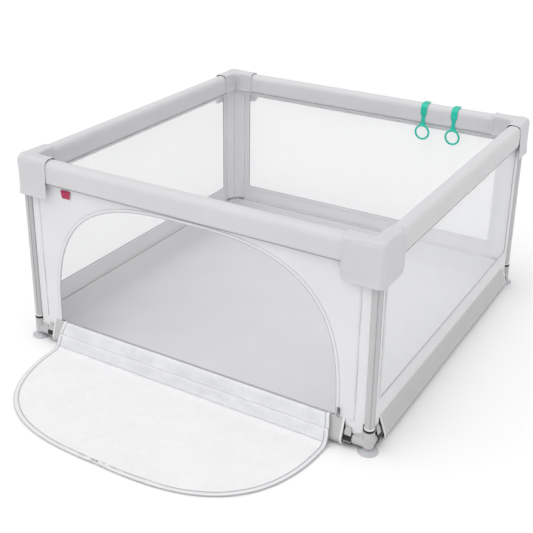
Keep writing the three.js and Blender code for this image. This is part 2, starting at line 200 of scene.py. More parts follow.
class Shader:
    """A material under construction, with one Principled surface."""

    def __init__(self, name: str) -> None:
        """Starts an empty node tree.

        Args:
            name: the material's name.
        """
        self.material = bpy.data.materials.new(name)
        self.material.use_nodes = True
        self.tree = self.material.node_tree
        self.tree.nodes.clear()

    def node(self, kind: str, settings: dict | None = None,
             inputs: dict | None = None) -> bpy.types.Node:
        """Adds one node.

        Args:
            kind: the node's type.
            settings: properties, set first; "stops" fills a colour ramp.
            inputs: values or Socks, by the name or number of the input.

        Returns:
            The new node.
        """
        made = self.tree.nodes.new(kind)
        for key, value in (settings or {}).items():
            if key == "stops":
                for slot, (position, shade) in zip(self._stops(made, len(value)), value):
                    slot.position, slot.color = position, (shade, shade, shade, 1)
            else:
                setattr(made, key, value)
        for key, value in (inputs or {}).items():
            if isinstance(value, Sock):
                self.tree.links.new(value.socket, made.inputs[key])
            else:
                made.inputs[key].default_value = value
        return made

    @staticmethod
    def _stops(made: bpy.types.Node, count: int) -> list[bpy.types.ColorRampElement]:
        """Gives a ramp node its number of stops.

        Args:
            made: the ramp node.
            count: how many stops it has to have, two or more.

        Returns:
            The ramp's stops.
        """
        while len(made.color_ramp.elements) < count:
            made.color_ramp.elements.new(1.0)
        return list(made.color_ramp.elements)

    def result(self, kind: str, settings: dict | None = None, inputs: dict | None = None,
               output: int | str = 0) -> Sock:
        """Adds one node and takes one of its outputs.

        Args:
            kind: the node's type.
            settings: properties, as in node().
            inputs: values or Socks, by the name or number of the input.
            output: the output's name or number.

        Returns:
            The output.
        """
        return Sock(self, self.node(kind, settings, inputs).outputs[output])

    def place(self) -> Sock:
        """Place on the piece, in metres."""
        return self.result("ShaderNodeTexCoord", output="Object")

    def axes(self) -> tuple[Sock, Sock, Sock]:
        """The three coordinates of the place, as values."""
        split = self.node("ShaderNodeSeparateXYZ", None, {0: self.place()})
        return tuple(Sock(self, split.outputs[i]) for i in range(3))

    def threads(self, pitch: float, slant: float = 1.0) -> tuple[Sock, ...]:
        """Three crossing families of thread, each a wave from -1 to 1.

        Args:
            pitch: the distance from thread to thread, in metres.
            slant: how much the first two lean on the height.

        Returns:
            The rising, the falling and the level threads.
        """
        x, y, z = self.axes()
        turns, lean = 2 * math.pi / pitch, z * slant
        return tuple((way * turns).sine() for way in (x + y + lean, x + y - lean, x - y))

    def cloud(self, scale: float, detail: float = 2.0, stretch: Sequence[float] = (1, 1, 1)) -> Sock:
        """A soft noise from 0 to 1.

        Args:
            scale: waves per metre.
            detail: how many finer octaves are added.
            stretch: scale along each axis.

        Returns:
            The noise value.
        """
        where = self.place()
        if tuple(stretch) != (1, 1, 1):
            where = self.result("ShaderNodeMapping", None, {"Vector": where, "Scale": tuple(stretch)})
        inputs = {"Vector": where, "Scale": scale, "Detail": detail}
        return self.result("ShaderNodeTexNoise", None, inputs)

    def ramp(self, value: Sock, stops: Sequence[tuple[float, float]]) -> Sock:
        """Reshapes a value through grey stops.

        Args:
            value: the value that comes in.
            stops: pairs of place and grey.

        Returns:
            The reshaped value.
        """
        return self.result("ShaderNodeValToRGB", {"stops": stops}, {0: value})

    def mixed(self, share: Sock, first: Sequence[float] | Sock, second: Sequence[float] | Sock) -> Sock:
        """Mixes two colours.

        Args:
            share: how much of the second colour shows.
            first: a colour.
            second: a colour.

        Returns:
            The mixed colour.
        """
        inputs = {0: share, 6: first, 7: second}
        return self.result("ShaderNodeMix", {"data_type": "RGBA"}, inputs, 2)

    def edges(self) -> Sock:
        """How much a place lies on a ridge, 0 to 1."""
        ridge = self.result("ShaderNodeNewGeometry", output="Pointiness")
        return self.ramp(ridge, [(0.5, 0.0), (0.58, 1.0)])

    def bumped(self, height: Sock, depth: float, strength: float) -> Sock:
        """Turns a height into a surface normal.

        Args:
            height: the height, 0 to 1.
            depth: the size of the bumps, in metres.
            strength: how much of them shows.

        Returns:
            The normal.
        """
        inputs = {"Strength": strength, "Distance": depth, "Height": height}
        return self.result("ShaderNodeBump", None, inputs)

    def finished(self, inputs: dict) -> Material:
        """Closes the material with its Principled surface.

        Args:
            inputs: values or Socks of the surface, by name.

        Returns:
            The material.
        """
        surface = self.node("ShaderNodeBsdfPrincipled", None, inputs)
        out = self.node("ShaderNodeOutputMaterial")
        self.tree.links.new(surface.outputs[0], out.inputs[0])
        return self.material


# ------------------------------------------------------------------ finishes
@dataclass(frozen=True)
class WovenCloth:
    """Coated oxford cloth: a fine weave, soft mottling of tone (where it is strong, painted blotchy
    shade), crinkles and a painted highlight on ridges and seams.
    """

    name: str
    colour: str
    painted_ridge_light: str
    thread: float = 0.0011
    crinkle: float = 0.35
    crinkle_scale: float = 42.0
    roughness: float = 0.78
    mottle: float = 0.05
    mottle_scale: float = 7.0

    def make(self) -> Material:
        """Builds the material."""
        shader = Shader(self.name)
        rising, falling, crossing = shader.threads(self.thread)
        weave = (rising * falling + crossing * 0.5) * 0.25 + 0.5
        mottle = shader.ramp(shader.cloud(self.mottle_scale, 3), [(0.35, 0.0), (0.7, 1.0)])
        fine = shader.cloud(160, 2)
        folds = shader.cloud(self.crinkle_scale, 3, (1, 1, 1.6))
        base = linear(self.colour)
        # Mottled tone; on a strongly mottled cloth such as the apron it is painted blotchy shade.
        tone_and_shade_mottled = shader.mixed((mottle * 0.6 + fine * 0.4).clipped(), shaded(base, 1 - self.mottle), base)
        # Painted highlight: ridges and seams are painted in the paler colour, as if they caught the
        # light.
        ridge_highlighted = shader.mixed((shader.edges() * 0.5).clipped(), tone_and_shade_mottled, linear(self.painted_ridge_light))
        height = weave * 0.18 + folds * self.crinkle + fine * 0.08
        return shader.finished({
            "Base Color": ridge_highlighted,
            "Roughness": (fine * 0.12 + (self.roughness - 0.06)).clipped(),
            "Normal": shader.bumped(height, 0.003, 0.55),
            "Sheen Weight": 0.25,
            "Sheen Roughness": 0.5,
            "Specular IOR Level": 0.35,
        })


@dataclass(frozen=True)
class FineNet:
    """See-through knitted net: rows of small holes between paler yarns."""

    name: str
    colour: str
    yarn: float = 0.0019
    closed: float = 0.62
    open: float = 0.30

    def make(self) -> Material:
        """Builds the material."""
        shader = Shader(self.name)
        rising, falling, level = shader.threads(self.yarn, 0.8)
        yarns = (rising * falling * 0.7 + level * 0.3).size()
        drift = shader.cloud(5, 2)
        cover = yarns * (self.closed - self.open) + self.open + drift * 0.08
        shade = linear(self.colour)
        return shader.finished({
            "Base Color": shader.mixed(shader.cloud(24, 3), shaded(shade, 0.93), shade),
            "Roughness": (shader.cloud(200, 1) * 0.1 + 0.75).clipped(),
            "Alpha": cover.clipped(),
            "Normal": shader.bumped(yarns, 0.0006, 0.4),
            "Sheen Weight": 0.2,
        })


@dataclass(frozen=True)
class MouldedPlastic:
    """Injection moulded plastic: a fine spark grain, faint flow marks and a painted highlight on
    ridges.
    """

    name: str
    colour: str
    ridge_highlighted: str
    roughness: float = 0.42

    def make(self) -> Material:
        """Builds the material."""
        shader = Shader(self.name)
        grain = shader.cloud(1400, 2)
        flow = shader.cloud(38, 3, (1, 1, 0.4))
        base = linear(self.colour)
        body = shader.mixed(flow, shaded(base, 0.9), base)
        # Painted highlight: ridges are painted in the paler colour, as if they caught the light.
        painted_ridge_light = shader.mixed((shader.edges() * 0.6).clipped(), body, linear(self.ridge_highlighted))
        return shader.finished({
            "Base Color": painted_ridge_light,
            "Roughness": (grain * 0.15 + flow * 0.1 + (self.roughness - 0.1)).clipped(),
            "Normal": shader.bumped(grain, 0.0004, 0.35),
        })


@dataclass(frozen=True)
class BrushedSteel:
    """Zinc plated steel tube, drawn along its length."""

    name: str
    colour: str

    def make(self) -> Material:
        """Builds the material."""
        shader = Shader(self.name)
        drawn = shader.cloud(900, 2, (1, 1, 0.03))
        spots = shader.cloud(60, 4)
        base = linear(self.colour)
        return shader.finished({
            "Base Color": shader.mixed(spots, shaded(base, 0.8), base),
            "Metallic": 0.9,
            "Roughness": (drawn * 0.25 + spots * 0.12 + 0.18).clipped(),
            "Normal": shader.bumped(drawn, 0.0003, 0.3),
        })


@dataclass(frozen=True)
class SoftMould:
    """Rubber or silicone: an even, slightly waxy surface with a little light inside."""

    name: str
    colour: str
    deep: str
    roughness: float = 0.3
    inside: float = 0.08
    alpha: float = 1.0

    def make(self) -> Material:
        """Builds the material."""
        shader = Shader(self.name)
        haze = shader.cloud(55, 3)
        dust = shader.cloud(700, 2)
        tone = shader.mixed(haze, linear(self.deep), linear(self.colour))
        lit = shader.mixed((shader.edges() * 0.3).clipped(), tone, linear(self.colour))
        return shader.finished({
            "Base Color": lit,
            "Roughness": (haze * 0.12 + dust * 0.1 + (self.roughness - 0.1)).clipped(),
            "Normal": shader.bumped(dust, 0.0003, 0.2),
            "Subsurface Weight": self.inside,
            "Subsurface Scale": 0.01,
            "Alpha": self.alpha,
        })


@dataclass(frozen=True)
class NappedTape:
    """Tape with a raised pile or a ribbed weave, such as hook-and-loop or webbing, with a painted
    highlight on its raised parts.
    """

    name: str
    colour: str
    tip: str
    pile: float = 900.0
    rib: float = 0.0016

    def make(self) -> Material:
        """Builds the material."""
        shader = Shader(self.name)
        x, y, z = shader.axes()
        loops = shader.ramp(shader.cloud(self.pile, 2), [(0.35, 0.0), (0.65, 1.0)])
        ribs = ((x + y) * (2 * math.pi / self.rib)).sine() * ((z * (math.pi / self.rib)).sine())
        height = loops * 0.6 + ribs * 0.2 + 0.2
        # Painted highlight: the raised loops and ribs are painted in the paler tip colour, the hollows
        # between them in the darker one.
        share = (loops * 0.7 + ribs * 0.15).clipped()
        tone = shader.mixed(share, linear(self.colour), linear(self.tip))
        return shader.finished({
            "Base Color": tone,
            "Roughness": (loops * 0.1 + 0.8).clipped(),
            "Normal": shader.bumped(height, 0.001, 0.5),
            "Sheen Weight": 0.3,
        })


@dataclass(frozen=True)
class OpenFoam:
    """Open cell foam, pitted all over, with painted shade in its pits."""

    name: str
    colour: str

    def make(self) -> Material:
        """Builds the material."""
        shader = Shader(self.name)
        inputs = {"Vector": shader.place(), "Scale": 600.0}
        cells = shader.result("ShaderNodeTexVoronoi", None, inputs, "Distance")
        base = linear(self.colour)
        # Painted shade: the pits of the cells are painted darker than the struts between them.
        return shader.finished({
            "Base Color": shader.mixed(cells.clipped(), shaded(base, 0.7), base),
            "Roughness": (cells * 0.2 + 0.75).clipped(),
            "Normal": shader.bumped(cells, 0.001, 0.6),
        })


class Finishes:
    """Every finish of the playpen, made once."""

    def __init__(self) -> None:
        """Makes the materials."""
        # The third colour of each cloth is the painted highlight on its ridges.
        self.rail = WovenCloth("rail cloth", "D9D9DB", "EEEEEF").make()
        self.boot = WovenCloth("corner cloth", "D6D6D9", "EBEBEC", crinkle=0.5).make()
        self.wall = WovenCloth("wall cloth", "ECECEE", "F5F5F6", crinkle=0.25).make()
        self.sleeve = WovenCloth("bottom sleeve cloth", "CAC9CA", "E6E6E6", crinkle=0.4).make()
        self.post = WovenCloth("post sleeve cloth", "C6C5C7", "DADADA", crinkle=0.3).make()
        self.floor = WovenCloth("floor cloth", "DDDDDF", "EEEEEE", crinkle=0.5, crinkle_scale=18).make()
        self.binding = WovenCloth("binding tape", "E9E9EA", "F7F7F7", thread=0.0016, crinkle=0.2).make()
        self.piping = WovenCloth("dark piping", "9FA0A4", "B8B8BC", thread=0.0013).make()
        self.edging = WovenCloth("pale edging", "C3C4C8", "D8D8DB", thread=0.0013).make()
        # The apron's strong, wide mottle is painted blotchy shade of its creased, see-through cloth.
        self.apron = WovenCloth("door apron cloth", "EEEFF3", "F8F8FA", crinkle=1.2, crinkle_scale=30,
                                mottle=0.16, mottle_scale=20).make()
        self.net = FineNet("window net", "FAFBFD").make()
        self.door_net = FineNet("door net", "FDFDFE", closed=0.98, open=0.82).make()
        # The third colour of each tape is the painted highlight on its raised loops and ribs.
        self.thread = NappedTape("sewing thread", "DADADC", "F2F2F2", pile=1600).make()
        self.boot_thread = NappedTape("corner thread", "BCBCC0", "D0D0D4", pile=1600).make()
        self.hook = NappedTape("hook and loop", "050506", "242428").make()
        self.webbing = NappedTape("grey webbing", "B5B5B2", "D6D6D3", pile=1200).make()
        self.tag = NappedTape("raspberry tag", "A80F45", "CC2A63", pile=1500).make()
        # The third colour of each plastic is the painted highlight on its ridges.
        self.coil = MouldedPlastic("zip coil", "B9BABF", "DCDCE0").make()
        self.plastic = MouldedPlastic("grey connector plastic", "C2C2C2", "DDDDDC").make()
        self.zip_metal = BrushedSteel("zip metal", "A8AAAE").make()
        self.steel = BrushedSteel("plated steel", "C8CACD").make()
        self.seal = SoftMould("black seal", "0A0A0A", "050505", inside=0.0).make()
        self.cup = SoftMould("clear grey cup", "D2D2D6", "BEBEC4", alpha=0.93, inside=0.3).make()
        self.silicone = SoftMould("teal silicone", "10D2B6", "0DB49F", roughness=0.24).make()
        self.foam = OpenFoam("rail foam", "EFEDE6").make()


# ------------------------------------------------------------------ outlines
def even(line: np.ndarray, step: float, closed: bool = False) -> np.ndarray:
    """Spaces points evenly along a line.

    Args:
        line: the points of the line.
        step: the distance wanted between points.
        closed: whether the line comes back to its start.

    Returns:
        The new points; a closed line doesn't repeat its first.
    """
    track = np.vstack([line, line[:1]]) if closed else np.asarray(line, float)
    lengths = np.r_[0, np.cumsum(np.linalg.norm(np.diff(track, axis=0), axis=1))]
    count = max(2, int(round(lengths[-1] / step)))
    at = np.linspace(0, lengths[-1], count + 1)
    points = np.column_stack([np.interp(at, lengths, track[:, i]) for i in range(track.shape[1])])
    return points[:-1] if closed else points


def rounded(corners: Sequence[Sequence[float]], radii: Sequence[float],
            closed: bool = True) -> np.ndarray:
    """Rounds the corners of an outline with arcs.

    Args:
        corners: the sharp corners.
        radii: a radius for each; 0 leaves it sharp.
        closed: whether the outline is a loop.

    Returns:
        The rounded outline's points.
    """
    corners = np.asarray(corners, float)
    points: list[np.ndarray] = []
    total = len(corners)
    for i, (corner, radius) in enumerate(zip(corners, radii)):
        if radius == 0 or (not closed and i in (0, total - 1)):
            points.append(corner)
            continue
        back, ahead = unit(corners[i - 1] - corner), unit(corners[(i + 1) % total] - corner)
        half = math.acos(float(np.clip(back @ ahead, -1, 1))) / 2
        centre = corner + unit(back + ahead) * radius / math.sin(half)
        first = corner + back * radius / math.tan(half) - centre
        last = corner + ahead * radius / math.tan(half) - centre
        sweep = math.pi - 2 * half
        for share in np.linspace(0, 1, 9):
            turn = math.sin((1 - share) * sweep) * first + math.sin(share * sweep) * last
            points.append(centre + turn / math.sin(sweep))
    return np.array(points)


def box(left: float, low: float, right: float, high: float) -> list[tuple[float, float]]:
    """The four corners of a rectangle, counter-clockwise from the lower left."""
    return [(left, low), (right, low), (right, high), (left, high)]


def circle(count: int, wide: float = 1.0, tall: float = 1.0) -> np.ndarray:
    """Points round an ellipse with these two radii."""
    turns = np.linspace(0, 2 * math.pi, count, endpoint=False)
    return np.stack([wide * np.cos(turns), tall * np.sin(turns)], axis=1)


def arched(turns: np.ndarray) -> tuple[np.ndarray, np.ndarray]:
    """The doorway's curve at each angle: across from -1 to 1, and up from 0 to 1."""
    across = np.sign(np.cos(turns)) * np.abs(np.cos(turns)) ** (2 / ARCH_POWER)
    return across, np.sin(turns).clip(0) ** (2 / ARCH_POWER)


def grid_of(x: np.ndarray | float, y: np.ndarray | float, z: np.ndarray | float) -> np.ndarray:
    """Points whose coordinates are spread over one common grid."""
    return np.stack(np.broadcast_arrays(x, y, z), axis=-1).astype(float)


def unit(vectors: np.ndarray) -> np.ndarray:
    """The vectors at length 1."""
    return vectors / np.maximum(np.linalg.norm(vectors, axis=-1, keepdims=True), 1e-9)


def around(ring: np.ndarray) -> np.ndarray:
    """The way on at each point of a closed line."""
    return np.roll(ring, -1, axis=0) - np.roll(ring, 1, axis=0)


def lens(width: float, thick: float) -> np.ndarray:
    """A flat tape's section: a thin rectangle with round edges."""
    w, t = width / 2, thick / 2
    return rounded(box(-w, -t, w, t), [t * 0.96] * 4)[::2]


def ripples(points: np.ndarray, scale: float, seed: float) -> np.ndarray:
    """Smooth noise at each point, from about -1 to 1.

    Args:
        points: places in millimetres.
        scale: the size of a wave, in millimetres.
        seed: picks the pattern.

    Returns:
        One value for each point.
    """
    shift = Vector((seed * 7.3, seed * 3.1, -seed * 5.7))
    return np.array([noise.noise(Vector(p) / scale + shift) for p in points.reshape(-1, 3)])


# ------------------------------------------------------------------ shapes
@dataclass
class Shape:
    """A mesh in millimetres, before it is put in place."""

    points: np.ndarray
    faces: list[tuple[int, ...]]
    tags: list[int] = field(default_factory=list)

    @classmethod
    def lattice(cls, grid: np.ndarray, wrap: bool = False, loop: bool = False, caps: bool = False,
                tag: int = 0) -> "Shape":
        """Skins a grid of points.

        Args:
            grid: rows by columns by 3.
            wrap: whether the last column joins the first.
            loop: whether the last row joins the first.
            caps: whether the first and last rows are closed with a face.
            tag: which of the piece's materials the faces take.

        Returns:
            The shape.
        """
        rows, columns = grid.shape[:2]
        faces: list[tuple[int, ...]] = []
        for r in range(rows if loop else rows - 1):
            below = ((r + 1) % rows) * columns
            for c in range(columns if wrap else columns - 1):
                aside = (c + 1) % columns
                faces.append((r * columns + c, r * columns + aside, below + aside, below + c))
        if caps:
            faces.append(tuple(range(columns - 1, -1, -1)))
            faces.append(tuple((rows - 1) * columns + c for c in range(columns)))
        return cls(grid.reshape(-1, 3).astype(float), faces, [tag] * len(faces))

    @classmethod
    def sweep(cls, path: np.ndarray, across: np.ndarray, normal: np.ndarray, section: np.ndarray,
              loop: bool = False, tag: int = 0) -> "Shape":
        """Carries a closed section along a path.

        Args:
            path: the points of the path.
            across: the section's first direction at each point.
            normal: the section's second direction at each point.
            section: the section's points, closed.
            loop: whether the path is closed.
            tag: which of the piece's materials the faces take.

        Returns:
            The shape, with closed ends on an open path.
        """
        grid = (path[:, None, :] + section[None, :, 0, None] * across[:, None, :]
                + section[None, :, 1, None] * normal[:, None, :])
        return cls.lattice(grid, wrap=True, loop=loop, caps=not loop, tag=tag)

    @classmethod
    def tape(cls, path: np.ndarray, normal: Sequence[float], width: float, thick: float,
             loop: bool = False, tag: int = 0) -> "Shape":
        """Lays a flat tape along a path in one plane.

        Args:
            path: the middle of the tape.
            normal: the direction that the tape faces.
            width: the tape's width.
            thick: its thickness.
            loop: whether the path is closed.
            tag: which of the piece's materials the faces take.

        Returns:
            The shape.
        """
        along = around(path) if loop else np.gradient(path, axis=0)
        facing = np.broadcast_to(np.asarray(normal, float), path.shape)
        return cls.sweep(path, unit(np.cross(facing, along)), facing, lens(width, thick), loop, tag)

    @classmethod
    def turned(cls, profile: Sequence[Sequence[float]], segments: int = 48, axis: str = "z",
               tag: int = 0) -> "Shape":
        """Turns a closed profile round an axis.

        Args:
            profile: pairs of radius and place along the axis, a loop.
            segments: how many steps round.
            axis: x, y or z.
            tag: which of the piece's materials the faces take.

        Returns:
            The shape.
        """
        radius, along = np.asarray(profile, float).T
        cos, sin = circle(segments).T[:, :, None]
        order = {"x": (2, 0, 1), "y": (1, 2, 0), "z": (0, 1, 2)}[axis]
        grid = grid_of(cos * radius, sin * radius, along)[..., order]
        return cls.lattice(grid, wrap=True, loop=True, tag=tag)

    @staticmethod
    def joined(shapes: Iterable["Shape"]) -> "Shape":
        """All the shapes as one."""
        first, *others = shapes
        return sum(others, first)

    def __add__(self, other: "Shape") -> "Shape":
        """Both shapes as one."""
        shift = len(self.points)
        moved = [tuple(i + shift for i in face) for face in other.faces]
        return Shape(np.vstack([self.points, other.points]), self.faces + moved, self.tags + other.tags)

    def moved(self, x: float = 0.0, y: float = 0.0, z: float = 0.0) -> "Shape":
        """The shape somewhere else."""
        return Shape(self.points + np.array([x, y, z]), self.faces, self.tags)

    def piece(self, name: str, materials: Sequence[Material], place: Matrix | None = None,
              solid: bool = False) -> Object:
        """Makes a Blender object of the shape.

        Args:
            name: the piece's name.
            materials: its materials, by tag.
            place: the frame that the shape is drawn in, in millimetres.
            solid: whether the shape is closed, so that its faces can be turned outwards.

        Returns:
            The object, in metres.
        """
        frame_of = np.array(place if place is not None else Matrix.Identity(4))
        world = (self.points @ frame_of[:3, :3].T + frame_of[:3, 3]) * MM
        mesh = bpy.data.meshes.new(name)
        mesh.from_pydata(world.tolist(), [], self.faces)
        for material in materials:
            mesh.materials.append(material)
        mesh.polygons.foreach_set("material_index", self.tags)
        mesh.polygons.foreach_set("use_smooth", [True] * len(self.faces))
        if solid:
            work = bmesh.new()
            work.from_mesh(mesh)
            bmesh.ops.remove_doubles(work, verts=work.verts, dist=1e-6)
            bmesh.ops.recalc_face_normals(work, faces=work.faces)
            work.to_mesh(mesh)
            work.free()
        mesh.update()
        made = bpy.data.objects.new(name, mesh)
        bpy.context.scene.collection.objects.link(made)
        return made


def read_points(obj: Object) -> np.ndarray:
    """An evaluated object's points, in millimetres."""
    mesh = obj.evaluated_get(bpy.context.evaluated_depsgraph_get()).data
    flat = np.zeros(len(mesh.vertices) * 3)
    mesh.vertices.foreach_get("co", flat)
    return flat.reshape(-1, 3) / MM


@dataclass(frozen=True)
class Swell:
    """A short cloth simulation that puffs a cover out and lets it crease."""

    pressure: float = 4.0
    cap: float = 5.0
    grow: float = 0.012
    frames: int = 20

    def run(self, shape: Shape, held: np.ndarray) -> Shape:
        """Simulates the cover.

        Args:
            shape: the cover, a little smaller than it ends up.
            held: how firmly each point is sewn down, 0 to 1.

        Returns:
            The swollen cover.
        """
        trial = shape.piece("trial", [])
        group = trial.vertex_groups.new(name="sewn")
        for i, weight in enumerate(held):
            group.add([i], float(weight), "REPLACE")
        cloth = trial.modifiers.new("Cloth", "CLOTH")
        settings = cloth.settings
        settings.quality = 6
        settings.mass = 0.3
        settings.tension_stiffness = settings.compression_stiffness = 15
        settings.shear_stiffness = 5
        settings.bending_stiffness = 0.4
        settings.use_pressure = True
        settings.uniform_pressure_force = self.pressure
        settings.shrink_min = -self.grow
        settings.effector_weights.gravity = 0
        settings.vertex_group_mass = "sewn"
        cloth.collision_settings.use_collision = False
        cloth.point_cache.frame_start, cloth.point_cache.frame_end = 1, self.frames
        for step in range(1, self.frames + 1):
            bpy.context.scene.frame_set(step)
        shift = read_points(trial) - shape.points
        bpy.context.scene.frame_set(1)
        bpy.data.objects.remove(trial)
        far = np.linalg.norm(shift, axis=1)
        shift *= (np.minimum(far, self.cap) / np.maximum(far, 1e-9) * (1 - held))[:, None]
        LOG.info("cloth settled: moved %.1f mm at most", float(np.linalg.norm(shift, axis=1).max()))
        return Shape(shape.points + shift, shape.faces, shape.tags)


def thicken(obj: Object, thick: float, offset: float = 0.0) -> Object:
    """Gives a cloth its thickness.

    Args:
        obj: a piece made as one layer.
        thick: the cloth's thickness in millimetres.
        offset: -1 puts it all behind the layer, 1 all in front.

    Returns:
        The same piece.
    """
    wall = obj.modifiers.new("Thickness", "SOLIDIFY")
    wall.thickness = thick * MM
    wall.offset = offset
    return obj


def soften(obj: Object, levels: int = 1) -> Object:
    """Subdivides a piece smoothly."""
    rounder = obj.modifiers.new("Soft", "SUBSURF")
    rounder.levels = rounder.render_levels = levels
    return obj


def fused(shape: Shape, voxel: float, smooth: int) -> Shape:
    """Melts crossing shapes into one moulded skin.

    Args:
        shape: closed shapes that cross each other.
        voxel: the size of the new faces, in millimetres.
        smooth: how many smoothing steps round the joins.

    Returns:
        One closed skin.
    """
    trial = shape.piece("trial", [])
    remesh = trial.modifiers.new("Remesh", "REMESH")
    remesh.mode = "VOXEL"
    remesh.voxel_size = voxel * MM
    relax = trial.modifiers.new("Smooth", "SMOOTH")
    relax.iterations = smooth
    points = read_points(trial)
    mesh = trial.evaluated_get(bpy.context.evaluated_depsgraph_get()).data
    faces = [tuple(p.vertices) for p in mesh.polygons]
    made = Shape(points, faces, [0] * len(faces))
    bpy.data.objects.remove(trial)
    return made


def fit(obj: Object, body: str = "root", stands_for: Sequence[str] = ()) -> Object:
    """Puts a finished piece on its body and reports it.

    Args:
        obj: the piece, in place.
        body: the CAD body that it moves with.
        stands_for: the CAD nodes that it replaces.

    Returns:
        The same piece.
    """
    if stands_for:
        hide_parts(*stands_for)
    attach(obj, body)
    LOG.info("%s on %s, %d faces", obj.name, body, len(obj.data.polygons))
    return obj


def sew(shape: Shape, name: str, materials: Sequence[Material], place: Matrix,
        body: str = "root", stands_for: Sequence[str] = ()) -> Object:
    """Makes a closed shape into a piece and fits it.

    Args:
        shape: the closed shape.
        name: the piece's name.
        materials: its materials, by tag.
        place: the frame that the shape is drawn in, in millimetres.
        body: the CAD body that it moves with.
        stands_for: the CAD nodes that it replaces.

    Returns:
        The piece.
    """
    return fit(shape.piece(name, materials, place, solid=True), body, stands_for)


def dress(node: str, material: Material) -> Object:
    """Gives a CAD node that stays its finish."""
    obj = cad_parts[node]
    obj.data.materials.clear()
    obj.data.materials.append(material)
    return obj


def stitches(path: np.ndarray, normal: Sequence[float] | np.ndarray, pitch: float = 5.0,
             tag: int = 0) -> Shape:
    """Sews a row of short stitches along a path.

    Args:
        path: the line of sewing.
        normal: the way out of the cloth, one direction or one at each point.
        pitch: the distance from stitch to stitch.
        tag: which of the piece's materials the thread takes.

    Returns:
        All the stitches as one shape.
    """
    facing = np.broadcast_to(np.asarray(normal, float), path.shape)
    joined = even(np.hstack([path, facing]), pitch)
    starts, ends = joined[:-1], joined[1:]
    along = ends[:, :3] - starts[:, :3]
    out = unit(starts[:, 3:])
    side = unit(np.cross(along, out))
    rings = []
    for share, girth in ((0.08, 0.05), (0.22, 1.0), (0.62, 1.0), (0.76, 0.05)):
        middle = starts[:, :3] + along * share
        for a, b in ((0.45, 0), (0, 0.35), (-0.45, 0), (0, -0.35)):
            rings.append(middle + side * a * girth + out * b * girth)
    points = np.stack(rings, axis=1)
    count = len(starts)
    pattern = [(r * 4 + c, r * 4 + (c + 1) % 4, r * 4 + 4 + (c + 1) % 4, r * 4 + 4 + c)
               for r in range(3) for c in range(4)] + [(3, 2, 1, 0), (12, 13, 14, 15)]
    faces = [tuple(i + 16 * n for i in face) for n in range(count) for face in pattern]
    return Shape(points.reshape(-1, 3), faces, [tag] * len(faces))


def hem(grid: np.ndarray, width: float, thick: float, tag: int = 1) -> Shape:
    """Folds a hem round the whole edge of a grid, with a row of stitches.

    Args:
        grid: the cloth's points, rows by columns.
        width: how far the hem reaches in from the edge.
        thick: the hem's thickness.
        tag: the hem's material; the thread takes the next one.

    Returns:
        The hem and its stitches.
    """
    def ring(g: np.ndarray) -> np.ndarray:
        """The points round a grid's edge."""
        return np.vstack([g[0, :-1], g[:-1, -1], g[-1, :0:-1], g[:0:-1, 0]])

    slope_r, slope_c = np.gradient(grid, axis=0), np.gradient(grid, axis=1)
    edge, normal = ring(grid), unit(ring(np.cross(slope_c, slope_r)))
    inward = unit(np.cross(normal, around(edge)))
    for _ in range(2):
        inward = (inward + np.roll(inward, 1, axis=0) + np.roll(inward, -1, axis=0)) / 3
        normal = (normal + np.roll(normal, 1, axis=0) + np.roll(normal, -1, axis=0)) / 3
    middle = edge + inward * (width / 2 - 0.6)
    band = Shape.sweep(middle, inward, normal, lens(width, thick), loop=True, tag=tag)
    lift = edge + inward * (width * 0.72) + normal * (thick / 2)
    closed = np.vstack([lift, lift[:1]])
    return band + stitches(closed, np.vstack([normal, normal[:1]]), STITCH, tag + 1)


